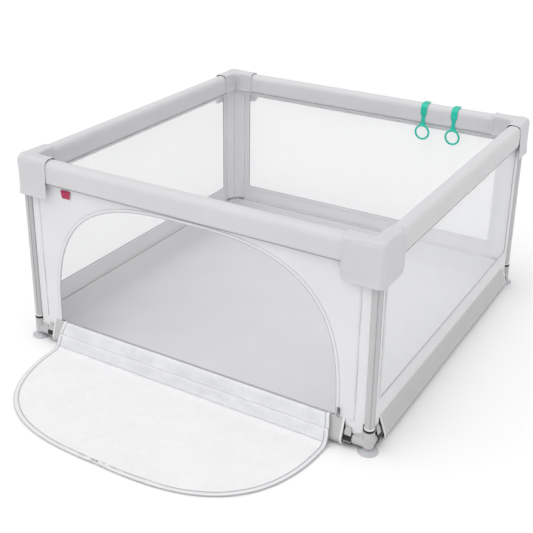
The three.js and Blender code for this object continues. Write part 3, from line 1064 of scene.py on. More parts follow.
# ------------------------------------------------------------------ top rail
@dataclass
class TopRails:
    """The padded rails: foam on the top tubes inside a sewn cover."""

    finishes: Finishes
    half_length: float = 558.0
    shrink: float = 0.9
    row_step: float = 9.0
    column_step: float = 6.2
    bare_from: float = 500.0      # the corner covers start here and hide the rail

    def section(self) -> np.ndarray:
        """The rail's outline, a little small, as (out, height)."""
        low, top, half = RAIL_LOW + self.shrink * 0.4, RAIL_TOP - self.shrink, RAIL_HALF - self.shrink
        return even(rounded(box(-half, low, half, top), [4, 4, 16, 16]), self.column_step, closed=True)

    def cover(self) -> Shape:
        """Builds, swells and creases one cover, in a side's frame."""
        outline = self.section()
        rows = int(2 * self.half_length / self.row_step) + 1
        along = np.linspace(-self.half_length, self.half_length, rows)[:, None]
        shape = Shape.lattice(grid_of(along, *outline.T), wrap=True)
        height = shape.points[:, 2]
        ends = np.clip((np.abs(shape.points[:, 0]) - self.bare_from) / 30, 0, 1)
        seam = np.clip(1 - np.abs(height - RAIL_LOW) / 7, 0, 1)
        swollen = Swell(cap=2.2, grow=0.012).run(shape, np.maximum(ends, seam * 0.98))
        axis = np.array([0.0, (RAIL_LOW + RAIL_TOP) / 2])
        before, after = shape.points[:, 1:] - axis, swollen.points[:, 1:] - axis
        growth = np.linalg.norm(before, axis=1) / np.linalg.norm(after, axis=1)
        swollen.points[:, 1:] = axis + after * np.maximum(growth, 1.0)[:, None]
        return self.creased(swollen, ends)

    def creased(self, shape: Shape, ends: np.ndarray) -> Shape:
        """Adds the small puckers along the seams.

        Args:
            shape: the swollen cover.
            ends: how much each point belongs to a hidden end, 0 to 1.

        Returns:
            The creased cover.
        """
        p = shape.points
        out = grid_of(0, np.sign(p[:, 1]) * (np.abs(p[:, 1]) > 12), 0)
        near = np.exp(-np.maximum(p[:, 2] - RAIL_LOW, 0) / 15)
        pucker = ripples(p * [1, 0.3, 0.25], 12, 1.0) * near * 1.1
        beside = np.exp(-np.abs(p[:, 2] - RAIL_LOW - 14) / 12)
        lines = ripples(p * [0.12, 0.3, 1.0], 7, 2.0) * beside * 0.7
        sag = ripples(p * [1, 0.2, 0.4], 95, 3.0) * 0.9
        return Shape(p + out * ((pucker + lines + sag) * (1 - ends))[:, None], shape.faces, shape.tags)

    def piping(self, grid: np.ndarray) -> Shape:
        """The cords sewn into a cover's two lower edges.

        Args:
            grid: the cover's points, rows along the rail.

        Returns:
            Both cords.
        """
        cords = []
        for sense in (-1, 1):
            corner = np.array([sense * (RAIL_HALF - self.shrink), RAIL_LOW])
            nearest = int(np.argmin(np.linalg.norm(self.section() - corner, axis=1)))
            path = even(grid[3:-3, nearest], 5.0) + [0, sense * 0.7, -0.9]
            cords.append(Shape.tape(path, (0, sense, 0), 2.6, 2.4))
        return Shape.joined(cords)

    def build(self) -> None:
        """Makes the four covers and dresses the foam and the tubes inside."""
        grid = self.cover().points.reshape(-1, len(self.section()), 3)
        cords = self.piping(grid)
        closed = Shape.lattice(grid, wrap=True, caps=True)
        for side in Side:
            name = f"padded_rail_{side.label}"
            cover = soften(closed.piece(name, [self.finishes.rail], side.place, solid=True))
            fit(cover, stands_for=[f"rail_cover_{side.label}"])
            sew(cords, f"rail_piping_{side.label}", [self.finishes.piping], side.place)
            dress(f"rail_foam_{side.label}", self.finishes.foam)
            dress(f"top_rail_tube_{side.label}", self.finishes.steel)
            dress(f"bottom_rail_tube_{side.label}", self.finishes.steel)


# ------------------------------------------------------------------ corner covers
@dataclass
class CornerCovers:
    """The cloth boots over the top corners, with their hems and hanging skirts."""

    finishes: Finishes
    half: float = 25.9
    low: float = 516.0
    inner_low: float = 571.0
    top: float = 643.5
    reach: float = 98.0
    low_round: float = 22.0
    outer_round: float = 21.0
    inner_round: float = 9.0
    profile_count: int = 46

    def plan(self) -> tuple[np.ndarray, np.ndarray, np.ndarray]:
        """Pairs inner and outer points along the boot.

        Returns:
            The inner points, the outer points, and each pair's distance from its arm's end.
        """
        into = [0, 0.8, 2.4, 5, 8.5, 13, 18, 24, 30.5, 37, 44, 51]
        straight = self.reach - self.half - self.inner_round
        arm = np.array([d for d in into if d < straight])
        far = self.half + self.inner_round
        sharp = [(-far, -self.half), (self.half, -self.half), (self.half, far)]
        fan_outer = even(rounded(sharp, [0, self.outer_round, 0], closed=False), 5.0)
        turns = np.linspace(-QUARTER, 0, len(fan_outer))
        fan_inner = [-far, far] + self.inner_round * np.stack([np.cos(turns), np.sin(turns)], axis=1)

        def with_arms(fan: np.ndarray, half: float) -> np.ndarray:
            """A fan of points with the arms' straight runs before and after it."""
            ones = half * np.ones_like(arm)
            return np.vstack([np.stack([arm - self.reach, ones], axis=1), fan,
                              np.stack([-ones, self.reach - arm], axis=1)[::-1]])

        inner, outer = with_arms(fan_inner, self.half), with_arms(fan_outer, -self.half)
        depth = np.r_[arm, np.full(len(fan_outer), straight), arm[::-1]]
        return inner, outer, depth

    def grid(self) -> np.ndarray:
        """The boot's skin as a grid: rows over the top, columns round the corner."""
        inner, outer, depth = self.plan()
        columns = []
        for (a, b), (c, d), deep in zip(inner, outer, depth):
            drop = self.low_round
            bend = drop - math.sqrt(max(drop ** 2 - max(drop - deep, 0) ** 2, 0))
            foot = self.low + bend
            span = math.hypot(c - a, d - b)
            sharp = [(0, self.inner_low), (0, self.top), (span, self.top), (span, foot)]
            smooth = rounded(sharp, [0, 17, 20, 0], closed=False)
            line = even(smooth, 1.0)
            pick = np.linspace(0, len(line) - 1, self.profile_count)
            across = np.interp(pick, np.arange(len(line)), line[:, 0]) / span
            height = np.interp(pick, np.arange(len(line)), line[:, 1])
            columns.append(np.stack([a + (c - a) * across, b + (d - b) * across, height], axis=1))
        return np.stack(columns, axis=1)

    def draped(self) -> np.ndarray:
        """The boot after swelling, gathering and creasing, as a grid."""
        grid = self.grid()
        shape = Shape.lattice(grid)
        rows, columns = grid.shape[:2]
        held = np.zeros((rows, columns))
        held[:2], held[-2:], held[:, :1], held[:, -1:] = 0.9, 0.9, 0.8, 0.8
        swollen = Swell(pressure=5.0, cap=2.0, grow=0.015).run(shape, held.ravel()).points
        swollen = swollen.reshape(grid.shape)
        slope_r, slope_c = np.gradient(swollen, axis=0), np.gradient(swollen, axis=1)
        normal = unit(np.cross(slope_c, slope_r))
        sense = np.sign(((swollen - [-self.half, self.half, 600.0]) * normal).sum(axis=2).mean())
        flat = swollen.reshape(-1, 3)
        share = np.linspace(0, 1, rows)[:, None]
        column = np.arange(columns)
        bend = np.exp(-((column - columns / 2) / (columns * 0.12)) ** 2)
        gather = np.sin(column * 1.9) * bend * np.clip(1 - share / 0.46, 0, 1) * 3.0
        skirt = np.clip((RAIL_LOW - swollen[..., 2]) / 38, 0, 1)
        hanging = (share > 0.5) * np.clip((622 - swollen[..., 2]) / 60, 0, 1)
        flare = np.exp(-self.plan()[2] / 15) * hanging
        wave = ripples(flat * [1, 1, 0.35], 27, 4.0).reshape(rows, columns) * (0.5 + 1.6 * skirt)
        fine = ripples(flat, 13, 5.0).reshape(rows, columns) * 0.35
        return swollen + normal * sense * (gather + wave + fine + flare * 3.4)[..., None]

    def build(self) -> None:
        """Makes the four boots."""
        grid = self.draped()
        skin = Shape.lattice(grid)
        edge = hem(grid, 4.2, 1.7, tag=0)
        looks = [self.finishes.boot, self.finishes.boot_thread]
        for corner in Corner:
            boot = skin.piece(f"corner_boot_{corner.label}", [self.finishes.boot], corner.place)
            soften(thicken(boot, 1.6))
            fit(boot, stands_for=[f"corner_cover_{corner.label}"])
            sew(edge, f"corner_boot_hem_{corner.label}", looks, corner.place)
            dress(f"top_connector_{corner.label}", self.finishes.plastic)


# ------------------------------------------------------------------ feet
@dataclass
class Feet:
    """The connectors at the floor, with their suction feet, seals and posts."""

    finishes: Finishes
    socket: float = 16.0
    arm: float = 15.4
    reach: float = 84.0
    mouth: float = 67.5
    ribs: int = 22

    def connector(self) -> Shape:
        """One moulded three-way connector, in a corner's frame."""
        upright = Shape.turned([(0.05, 12), (9, 12), (13.5, 13.5), (self.socket, 18),
                                (self.socket, self.mouth - 1), (self.socket - 0.8, self.mouth),
                                (0.05, self.mouth)], 44)
        arm, lip, end = self.arm, self.arm + 1.2, -self.reach
        round_arm = [(0.05, 0), (arm, 0), (arm, end + 6), (lip, end + 5), (lip, end + 0.8), (arm, end),
                     (0.05, end)]
        along_x = Shape.turned(round_arm, 44, "x").moved(z=ARM_Z)
        along_y = Shape.turned([(r, -h) for r, h in round_arm], 44, "y").moved(z=ARM_Z)
        web = self.web()
        web_y = Shape(web.points[:, [1, 0, 2]] * [1, -1, 1], web.faces, web.tags).moved(y=24, z=47)
        skin = fused(Shape.joined([upright, along_x, along_y, web.moved(x=-24, z=47), web_y]), 1.1, 5)
        p = skin.points
        radius, turn = np.hypot(p[:, 0], p[:, 1]), np.arctan2(p[:, 1], p[:, 0])
        on_socket = ((radius > self.socket - 1.2) & (radius < self.socket + 0.8)
                     & (p[:, 2] > 24) & (p[:, 2] < self.mouth - 3.5))
        groove = 0.55 * np.maximum(np.cos(turn * self.ribs), 0) * on_socket
        skin.points[:, :2] *= (1 - groove / np.maximum(radius, 1))[:, None]
        return skin

    def web(self) -> Shape:
        """The gusset between the socket and an arm, round its own middle."""
        sharp = [(-17, -14), (14, -14), (14, 4), (-6, 12), (-17, 12)]
        x, z = rounded(sharp, [0, 0, 6, 6, 0]).T
        layers = [(-6.5, 0.9), (-5.5, 1.0), (5.5, 1.0), (6.5, 0.9)]
        grid = np.stack([grid_of(-x * scale, y, z * scale) for y, scale in layers])
        return Shape.lattice(grid, wrap=True, caps=True)

    @staticmethod
    def cup() -> Shape:
        """A suction foot: a flared cup under a short stem."""
        sharp = [(0.05, 5), (14, 3.8), (23, 1.4), (27, 0.15), (30, 0.15), (29.6, 2.2), (22, 5.6),
                 (13, 8.8), (8, 11.5), (7, 20.4), (0.05, 20.4)]
        profile = rounded(sharp, [0, 6, 6, 0.8, 0.6, 2, 8, 8, 3, 0.6, 0])
        shape = Shape.turned(profile, 72)
        p = shape.points
        turn, radius = np.arctan2(p[:, 1], p[:, 0]), np.hypot(p[:, 0], p[:, 1])
        p[:, 2] += 0.25 * np.sin(turn * 3 + 0.6) * np.clip((radius - 20) / 10, 0, 1) * (p[:, 2] > 1)
        return shape

    @staticmethod
    def seal() -> Shape:
        """The black ring at the mouth of the upright socket."""
        return Shape.turned(circle(14, 2.5, 3.0) + [14.0, 71.0], 56)

    def build(self) -> None:
        """Makes the four feet."""
        connector, cup, seal = self.connector(), self.cup(), self.seal()
        tube = Shape.turned(rounded(box(10.5, 32.4, 12, 589.6), [0.4] * 4), 40)
        parts = [
            (connector, "moulded_foot", self.finishes.plastic, "connector_plastic", "bottom_connector"),
            (cup, "suction_cup", self.finishes.cup, "cup_rubber", "suction_foot"),
            (tube, "steel_post", self.finishes.steel, "tube_steel", "post_tube"),
        ]
        for corner in Corner:
            for shape, name, material, slot, node in parts:
                sew(shape, f"{name}_{corner.label}", [material], corner.place,
                    stands_for=[f"{node}_{corner.label}"])
            sew(seal, f"seal_ring_{corner.label}", [self.finishes.seal], corner.place)


# ------------------------------------------------------------------ walls
@dataclass
class Walls:
    """The cloth walls with their sleeves, bindings, windows and straps."""

    finishes: Finishes
    half: float = 586.5
    sleeve_half: dict[Side, float] = field(default_factory=lambda: {
        Side.FRONT: 528.0, Side.RIGHT: 545.0, Side.BACK: 545.0, Side.LEFT: 545.0})
    window_half: dict[Side, float] = field(default_factory=lambda: {
        Side.RIGHT: 548.0, Side.BACK: 525.0, Side.LEFT: 525.0})
    strap_at: dict[Side, float] = field(default_factory=lambda: {
        Side.FRONT: 542.0, Side.RIGHT: 560.0, Side.BACK: 560.0, Side.LEFT: 560.0})

    @staticmethod
    def arch(half: float, high: float, low: float = SEAM_Z) -> np.ndarray:
        """The doorway's outline from its left foot over to its right foot, as (along, height)."""
        across, up = arched(np.linspace(math.pi, 0, ARCH_STEPS + 1))
        return np.stack([half * across, low + (high - low) * up], axis=1)

    def door_wall(self) -> np.ndarray:
        """The front wall's cloth as a grid, from the arch out to the rail and the posts."""
        arch = self.arch(ARCH_HALF, ARCH_TOP)
        inner: list[np.ndarray] = []
        outer: list[np.ndarray] = []
        corners = box(1 - self.half, SEAM_Z, 1 + self.half, RAIL_LOW + 3)
        ways = [corners[0], corners[3], corners[2], corners[1]]
        cuts = [0, ARCH_STEPS // 4, 3 * ARCH_STEPS // 4, ARCH_STEPS]
        for i in range(3):
            track = even(arch[cuts[i]:cuts[i + 1] + 1], 10.0)
            inner.append(track)
            outer.append(np.linspace(ways[i], ways[i + 1], len(track)))
        inside, outside = (np.vstack([runs[0][:-1], runs[1][:-1], runs[2]]) for runs in (inner, outer))
        rows = np.linspace(0, 1, 12)[:, None, None]
        return self.billowed(inside[None] * (1 - rows) + outside[None] * rows, 1.3, 6.0)

    def window_wall(self, side: Side) -> np.ndarray:
        """A side wall's cloth as a grid, round its window."""
        wide = self.window_half[side]
        rings = []
        for corners in (box(-wide, WINDOW_LOW, wide, WINDOW_TOP),
                        box(1 - self.half, SEAM_Z, 1 + self.half, RAIL_LOW + 3)):
            ways = zip(corners, corners[1:] + corners[:1], (110, 46, 110, 46))
            rings.append(np.vstack([np.linspace(a, b, count, endpoint=False) for a, b, count in ways]))
        rows = np.linspace(0, 1, 8)[:, None, None]
        return self.billowed(rings[0][None] * (1 - rows) + rings[1][None] * rows, 0.8, 7.0 + side.value)

    @staticmethod
    def billowed(flat: np.ndarray, height: float, seed: float) -> np.ndarray:
        """Stands a flat grid up as a wall and lets it billow a little.

        Args:
            flat: the cloth as (along, height).
            height: how far it billows.
            seed: picks the pattern.

        Returns:
            The grid in a side's frame.
        """
        grid = grid_of(flat[..., 0], WALL_Y, flat[..., 1])
        share = np.linspace(0, 1, flat.shape[0])[:, None]
        soft = np.sin(np.pi * share) ** 0.6
        wave = ripples(grid, 85, seed) + 0.5 * ripples(grid * [1, 1, 0.4], 28, seed + 0.5)
        pull = 0.5 * ripples(grid, 16, seed + 0.7).reshape(soft.shape[0], -1) * np.exp(-share * 6)
        grid[..., 1] += wave.reshape(flat.shape[:2]) * soft * height + pull
        return grid

    def bottom_sleeve(self, side: Side) -> tuple[Shape, Shape]:
        """The sleeve round a bottom tube, narrow at its seam and flat under the tube.

        Args:
            side: which side it is on.

        Returns:
            The sleeve, and the bindings round its two ends.
        """
        sharp = [(-5.5, SEAM_Z), (-25.5, 25), (-18, 8.4), (15, 8.4), (21, 14.4), (21, 42),
                 (-1.5, SEAM_Z)]
        outline = even(rounded(sharp, [1.5, 9, 7, 6, 5, 12, 1.5]), 4.0, closed=True)
        half = self.sleeve_half[side]
        grid = grid_of(np.linspace(-half, half, int(half / 5))[:, None], *outline.T)
        flat = grid.reshape(-1, 3)
        inside = np.clip(np.minimum(flat[:, 2] - 9, SEAM_Z - 3 - flat[:, 2]) / 20, 0, 1)
        near_end = np.exp(-(half - np.abs(flat[:, 0])) / 26)
        folds = ripples(flat * [0.35, 1, 1], 34, 11.0 + side.value) * 2.0
        puckers = ripples(flat * [1, 0.3, 0.3], 13, 15.0) * (0.5 + 1.6 * near_end)
        flat[:, 1] -= (folds + puckers) * inside * np.where(flat[:, 1] < 0, 0.9, 0.35)
        ends = self.ring_tape(grid[0], -1.0) + self.ring_tape(grid[-1], 1.0)
        return Shape.lattice(grid, wrap=True), ends

    @staticmethod
    def ring_tape(ring: np.ndarray, sense: float) -> Shape:
        """A binding folded over the end of a sleeve.

        Args:
            ring: the points round the sleeve's end.
            sense: which way the end faces along X, -1 or 1.

        Returns:
            The binding.
        """
        across = np.broadcast_to([sense, 0.0, 0.0], ring.shape)
        out = unit(np.cross(around(ring), across))
        return Shape.sweep(ring - across * 2.6, across, out, lens(7.0, 2.8), loop=True)

    def post_sleeve(self) -> tuple[Shape, Shape]:
        """The sleeve round a post, in a corner's frame.

        Returns:
            The sleeve, and its seams and lower rim.
        """
        heights = np.r_[np.linspace(75.5, 120, 9), np.linspace(128, 540, 52)]
        radius = 13.6
        grid = grid_of(*circle(40, radius, radius).T, heights[:, None])
        flat = grid.reshape(-1, 3)
        swell = ripples(flat * [1, 1, 0.18], 13, 21.0) * 0.35 + ripples(flat, 60, 22.0) * 0.25
        flat[:, :2] *= (1 + swell / radius)[:, None]
        seams = []
        for angle in (-QUARTER + 0.55, 0.35):
            out = np.array([math.cos(angle), math.sin(angle), 0])
            path = np.array([out * 14.2 + [0, 0, h] for h in np.linspace(78, 538, 60)])
            across = np.broadcast_to([-math.sin(angle), math.cos(angle), 0.0], path.shape)
            seams.append(Shape.sweep(path, across, np.broadcast_to(out, path.shape), lens(1.5, 0.9)))
        rim = Shape.turned(rounded(box(13.3, 75.2, 15, 80.5), [0.7] * 4), 48, tag=1)
        return Shape.lattice(grid, wrap=True), Shape.joined([*seams, rim])

    @staticmethod
    def corner_liner() -> tuple[Shape, Shape]:
        """The cloth that covers a post from inside, in a corner's frame.

        Returns:
            The liner, and the seam down its middle.
        """
        sharp = [(-50, -2.6), (-29, 1.0), (-12.6, 12.6), (-1.0, 29), (2.6, 50)]
        line = even(rounded(sharp, [0, 20, 5, 20, 0], closed=False), 4.0)
        grid = grid_of(*line.T, np.linspace(SEAM_Z + 2, RAIL_LOW + 6, 70)[:, None])
        flat = grid.reshape(-1, 3)
        slant = math.sqrt(0.5)
        slack = 0.9 + ripples(flat * [1, 1, 0.25], 15, 70.0) * 0.8
        flat[:, :2] += np.array([-slant, slant]) * slack[:, None]
        middle = grid[:, len(line) // 2] + [-0.5, 0.5, 0]
        out = np.broadcast_to([-slant, slant, 0.0], middle.shape)
        across = np.broadcast_to([slant, slant, 0.0], middle.shape)
        return Shape.lattice(grid), Shape.sweep(middle, across, out, lens(1.7, 1.1))

    def rail_binding(self, side: Side) -> Shape:
        """The tape that joins a wall to the rail above, inside and outside.

        Args:
            side: which side it is on; the doorway leaves room for a narrow tape only.

        Returns:
            Both tapes and their stitches.
        """
        width = 8.0 if side is Side.FRONT else 21.0
        shapes = []
        for facing in (-1, 1):
            line = grid_of(np.linspace(-560, 560, 140), WALL_Y + facing * 1.5, RAIL_LOW - width / 2)
            line[:, 1] += ripples(line, 18, 30.0 + facing) * 0.3
            sewing = line + [0, facing * 0.65, 3.0 - width / 2]
            shapes.append(Shape.tape(line, (0, facing, 0), width, 1.1))
            shapes.append(stitches(sewing, (0, facing, 0), STITCH, 1))
        return Shape.joined(shapes)

    def window_trim(self, side: Side) -> Shape:
        """The piping, tape and stitches round a window."""
        wide = self.window_half[side]
        loops = []
        for grow in (0.0, 5.0, 8.0):
            sharp = box(-wide - grow, WINDOW_LOW - grow, wide + grow, WINDOW_TOP + grow)
            flat = even(rounded(sharp, [6 + grow] * 4), 7.0, closed=True)
            loops.append(grid_of(flat[:, 0], WALL_Y, flat[:, 1]))
        edge, middle, sewing = loops
        shapes = []
        for facing in (-1, 1):
            line, out = np.vstack([sewing, sewing[:1]]) + [0, facing * 2.5, 0], (0, facing, 0)
            shapes.append(Shape.tape(middle + [0, facing * 1.5, 0], out, 9.0, 1.2, loop=True))
            shapes.append(stitches(line, out, STITCH, 1))
        return Shape.joined([*shapes, Shape.tape(edge, (0, -1, 0), 1.8, 4.0, loop=True, tag=2)])

    @staticmethod
    def post_seams() -> Shape:
        """The upright seams beside the posts of the front wall."""
        shapes = []
        for x in (-557.0, 557.0):
            for facing in (-1, 1):
                line = grid_of(x, WALL_Y + facing * 1.1, np.linspace(88, 545, 90))
                line[:, 0] += ripples(line, 60, 33.0) * 0.8
                sewing = line + [math.copysign(4.0, -x), facing * 0.3, 0]
                shapes.append(Shape.tape(line, (0, facing, 0), 1.5, 1.0))
                shapes.append(stitches(sewing, (0, facing, 0), STITCH, 1))
        return Shape.joined(shapes)

    def arch_zip(self) -> Shape:
        """The zip round the doorway: two tapes, two cords and the coil's teeth."""
        shapes = []
        for inward, wide, thick, tag in ((-3.2, 8.0, 0.9, 0), (1.8, 2.8, 1.7, 2), (-7.4, 1.4, 1.5, 2)):
            flat = even(self.arch(ARCH_HALF - inward, ARCH_TOP - inward), 7.0)
            for facing in (-1, 1):
                track = grid_of(flat[:, 0], WALL_Y + facing * 1.2, flat[:, 1])
                shapes.append(Shape.tape(track, (0, facing, 0), wide, thick, tag=tag))
        flat = even(self.arch(ARCH_HALF - 0.5, ARCH_TOP - 0.5), 2.4)
        return Shape.joined([*shapes, self.toothed(grid_of(flat[:, 0], WALL_Y, flat[:, 1]), 3)])

    @staticmethod
    def toothed(path: np.ndarray, tag: int) -> Shape:
        """A zip's coil: a cord whose girth swells at each turn.

        Args:
            path: the middle of the coil, two points to a tooth.
            tag: which of the piece's materials it takes.

        Returns:
            The coil.
        """
        facing = np.broadcast_to([0.0, -1.0, 0.0], path.shape)
        across = unit(np.cross(facing, np.gradient(path, axis=0)))
        girth = np.where(np.arange(len(path)) % 2 == 0, 1.7, 1.0)[:, None]
        return Shape.sweep(path, across * girth, facing * girth, circle(6), tag=tag)

    def strap(self, at: float) -> tuple[Shape, Shape]:
        """A hook-and-loop strap round an arm, and the webbing loop that holds it.

        Args:
            at: where it is along the side.

        Returns:
            The strap, and the loop.
        """
        edge = rounded(box(16.5, at - 13, 18.4, at + 13), [0.3, 0.8, 0.8, 0.3])
        lap = grid_of(np.linspace(at - 12.5, at + 12.5, 12), -17.6, 22.0)
        strap = Shape.turned(edge, 48, "x").moved(z=ARM_Z)
        strap = strap + Shape.tape(lap, (0, -1, 0), 1.7, 3.0, tag=1)
        sharp = [(-14.4, 39.5), (-11.4, 50), (-8.2, 64), (-5.0, 63.5), (-6.0, 48)]
        path = even(rounded(sharp, [0, 10, 4, 4, 0], closed=False), 2.0)
        lift = np.clip((path[:, 1] - 50) / 14, 0, 1)
        half = 10.5 * np.sqrt(1 - 0.6 * lift ** 2)
        across = at + half[:, None] * np.linspace(-1, 1, 11)
        return strap, Shape.lattice(grid_of(across, path[:, :1], path[:, 1:]))

    def build_side(self, side: Side) -> None:
        """Makes one wall with all that is sewn to it.

        Args:
            side: which side it is.
        """
        f, label = self.finishes, side.label
        grid = self.door_wall() if side is Side.FRONT else self.window_wall(side)
        cloth = Shape.lattice(grid, wrap=side is not Side.FRONT)
        wall = cloth.piece(f"wall_cloth_{label}", [f.wall], side.place)
        soften(thicken(wall, 1.2))
        sleeve_shape, end_shape = self.bottom_sleeve(side)
        sleeve = sleeve_shape.piece(f"bottom_sleeve_{label}", [f.sleeve], side.place, solid=True)
        soften(thicken(sleeve, 1.0, -1.0))
        ends = sew(end_shape, f"bottom_sleeve_binding_{label}", [f.binding], side.place)
        binding = sew(self.rail_binding(side), f"rail_binding_{label}", [f.binding, f.thread],
                      side.place)
        fit(wall, stands_for=[f"wall_{label}"])
        fit(sleeve)
        if side is Side.FRONT:
            trim = sew(self.arch_zip(), "arch_zip", [f.wall, f.thread, f.edging, f.coil], side.place)
            self.blank_tag()
            sew(self.post_seams(), "post_strip_seams", [f.edging, f.thread], side.place)
        else:
            trim = sew(self.window_trim(side), f"window_trim_{label}", [f.wall, f.thread, f.edging],
                       side.place)
            self.net(side)
        for letter, sense in (("a", -1), ("b", 1)):
            strap_shape, loop_shape = self.strap(sense * self.strap_at[side])
            sew(strap_shape, f"hook_strap_{label}_{letter}", [f.hook, f.webbing], side.place,
                stands_for=[f"arm_strap_{label}_{letter}"])
            loop = loop_shape.piece(f"webbing_loop_{label}_{letter}", [f.webbing], side.place)
            fit(soften(thicken(loop, 1.5)))
            self.flap(f"corner_flap_{label}_{letter}", side, sense)

    def flap(self, name: str, side: Side, sense: int) -> None:
        """Makes the small cloth flap that hangs from a wall's corner behind a strap.

        Args:
            name: the piece's name.
            side: which side it is on.
            sense: -1 for the end towards -X, 1 for the other.
        """
        along = np.linspace(self.sleeve_half[side] + 2, 583, 22)
        grid = grid_of(sense * along, WALL_Y, np.linspace(85, 44, 16)[:, None])
        grid[..., 1] += ripples(grid * [1, 1, 0.6], 17, 80.0).reshape(16, 22) * 1.6
        made = Shape.lattice(grid).piece(name, [self.finishes.wall], side.place)
        fit(thicken(made, 1.0))

    def net(self, side: Side) -> None:
        """Makes a window's net.

        Args:
            side: which side it is in.
        """
        wide = self.window_half[side] + 1.5
        heights = np.linspace(WINDOW_LOW - 1.5, WINDOW_TOP + 1.5, 36)[:, None]
        grid = grid_of(np.linspace(-wide, wide, 90), WALL_Y, heights)
        down, along = np.linspace(0, 1, 36)[:, None], np.linspace(0, 1, 90)
        soft = np.sin(np.pi * down) * np.sin(np.pi * along)
        grid[..., 1] += ripples(grid, 140, 40.0 + side.value).reshape(36, 90) * soft ** 0.4 * 1.8
        net = Shape.lattice(grid).piece(f"window_net_{side.label}", [self.finishes.net], side.place)
        fit(net, stands_for=[f"mesh_window_{side.label}"])

    def blank_tag(self) -> None:
        """Sews the small blank tag to the front wall."""
        down, across = np.linspace(0, 1, 10)[:, None], np.linspace(-1, 1, 14)
        bulge = WALL_Y - 4.0 - 1.2 * np.sin(np.pi * down) - 0.4 * across ** 2
        grid = grid_of(-441 + (19.0 - 4.0 * down) * across, bulge, 554 - 27 * down)
        tag = Shape.lattice(grid).piece("blank_tag", [self.finishes.tag], Side.FRONT.place)
        fit(soften(thicken(tag, 0.9)))

    def build(self) -> None:
        """Makes the four walls and the four post sleeves."""
        for side in Side:
            self.build_side(side)
        sleeve_shape, seam_shape = self.post_sleeve()
        liner_shape, cord_shape = self.corner_liner()
        f = self.finishes
        for corner in Corner:
            label, place = corner.label, corner.place
            sleeve = sleeve_shape.piece(f"post_sleeve_{label}", [f.post], place)
            seams = sew(seam_shape, f"post_sleeve_seams_{label}", [f.piping, f.binding], place)
            fit(thicken(sleeve, 1.0, -1.0))
            liner = liner_shape.piece(f"corner_liner_{label}", [f.wall], place)
            seam = sew(cord_shape, f"corner_liner_seam_{label}", [f.edging], place)
            fit(thicken(liner, 1.0))


# ------------------------------------------------------------------ floor
@dataclass
class FloorMat:
    """The cloth floor: flat on the ground, with edges that rise to the wall seams."""

    finishes: Finishes
    flat_half: float = 535.0
    bend: float = 34.0
    slope: float = 1.10          # how steeply the edges rise, in radians
    edge: float = 639.0          # half width of the cut, measured along the cloth
    step: float = 13.0

    def rise(self, distance: np.ndarray) -> tuple[np.ndarray, np.ndarray]:
        """Follows the cloth from the middle out to its edge.

        Args:
            distance: how far along the cloth.

        Returns:
            How far out, and how high, that is.
        """
        table = np.linspace(0, self.edge, 1400)
        turn = np.clip((table - self.flat_half) / self.bend, 0, 1) * self.slope
        out = np.r_[0, np.cumsum(np.cos(turn[:-1]) * np.diff(table))]
        high = np.r_[0, np.cumsum(np.sin(turn[:-1]) * np.diff(table))]
        return (np.interp(np.abs(distance), table, out) * np.sign(distance),
                np.interp(np.abs(distance), table, high))

    def build(self) -> None:
        """Makes the floor."""
        count = int(2 * self.edge / self.step)
        cuts = np.linspace(-self.edge, self.edge, count)
        out, high = self.rise(cuts)
        grid = grid_of(out, out[:, None], 3.4)
        tall = np.maximum(high[None, :], high[:, None])
        flatness = np.clip(1 - tall / 20, 0, 1)
        wave = ripples(grid, 210, 50.0).reshape(count, count) * 1.3
        crease = ripples(grid * [1, 0.35, 1], 46, 51.0).reshape(count, count) * 0.7
        grid[..., 2] += tall + np.maximum(wave + crease, -1.6) * (0.25 + 0.75 * flatness)
        mat = Shape.lattice(grid).piece("floor_cloth", [self.finishes.floor])
        soften(thicken(mat, 1.6))
        fit(mat, stands_for=["floor_mat"])


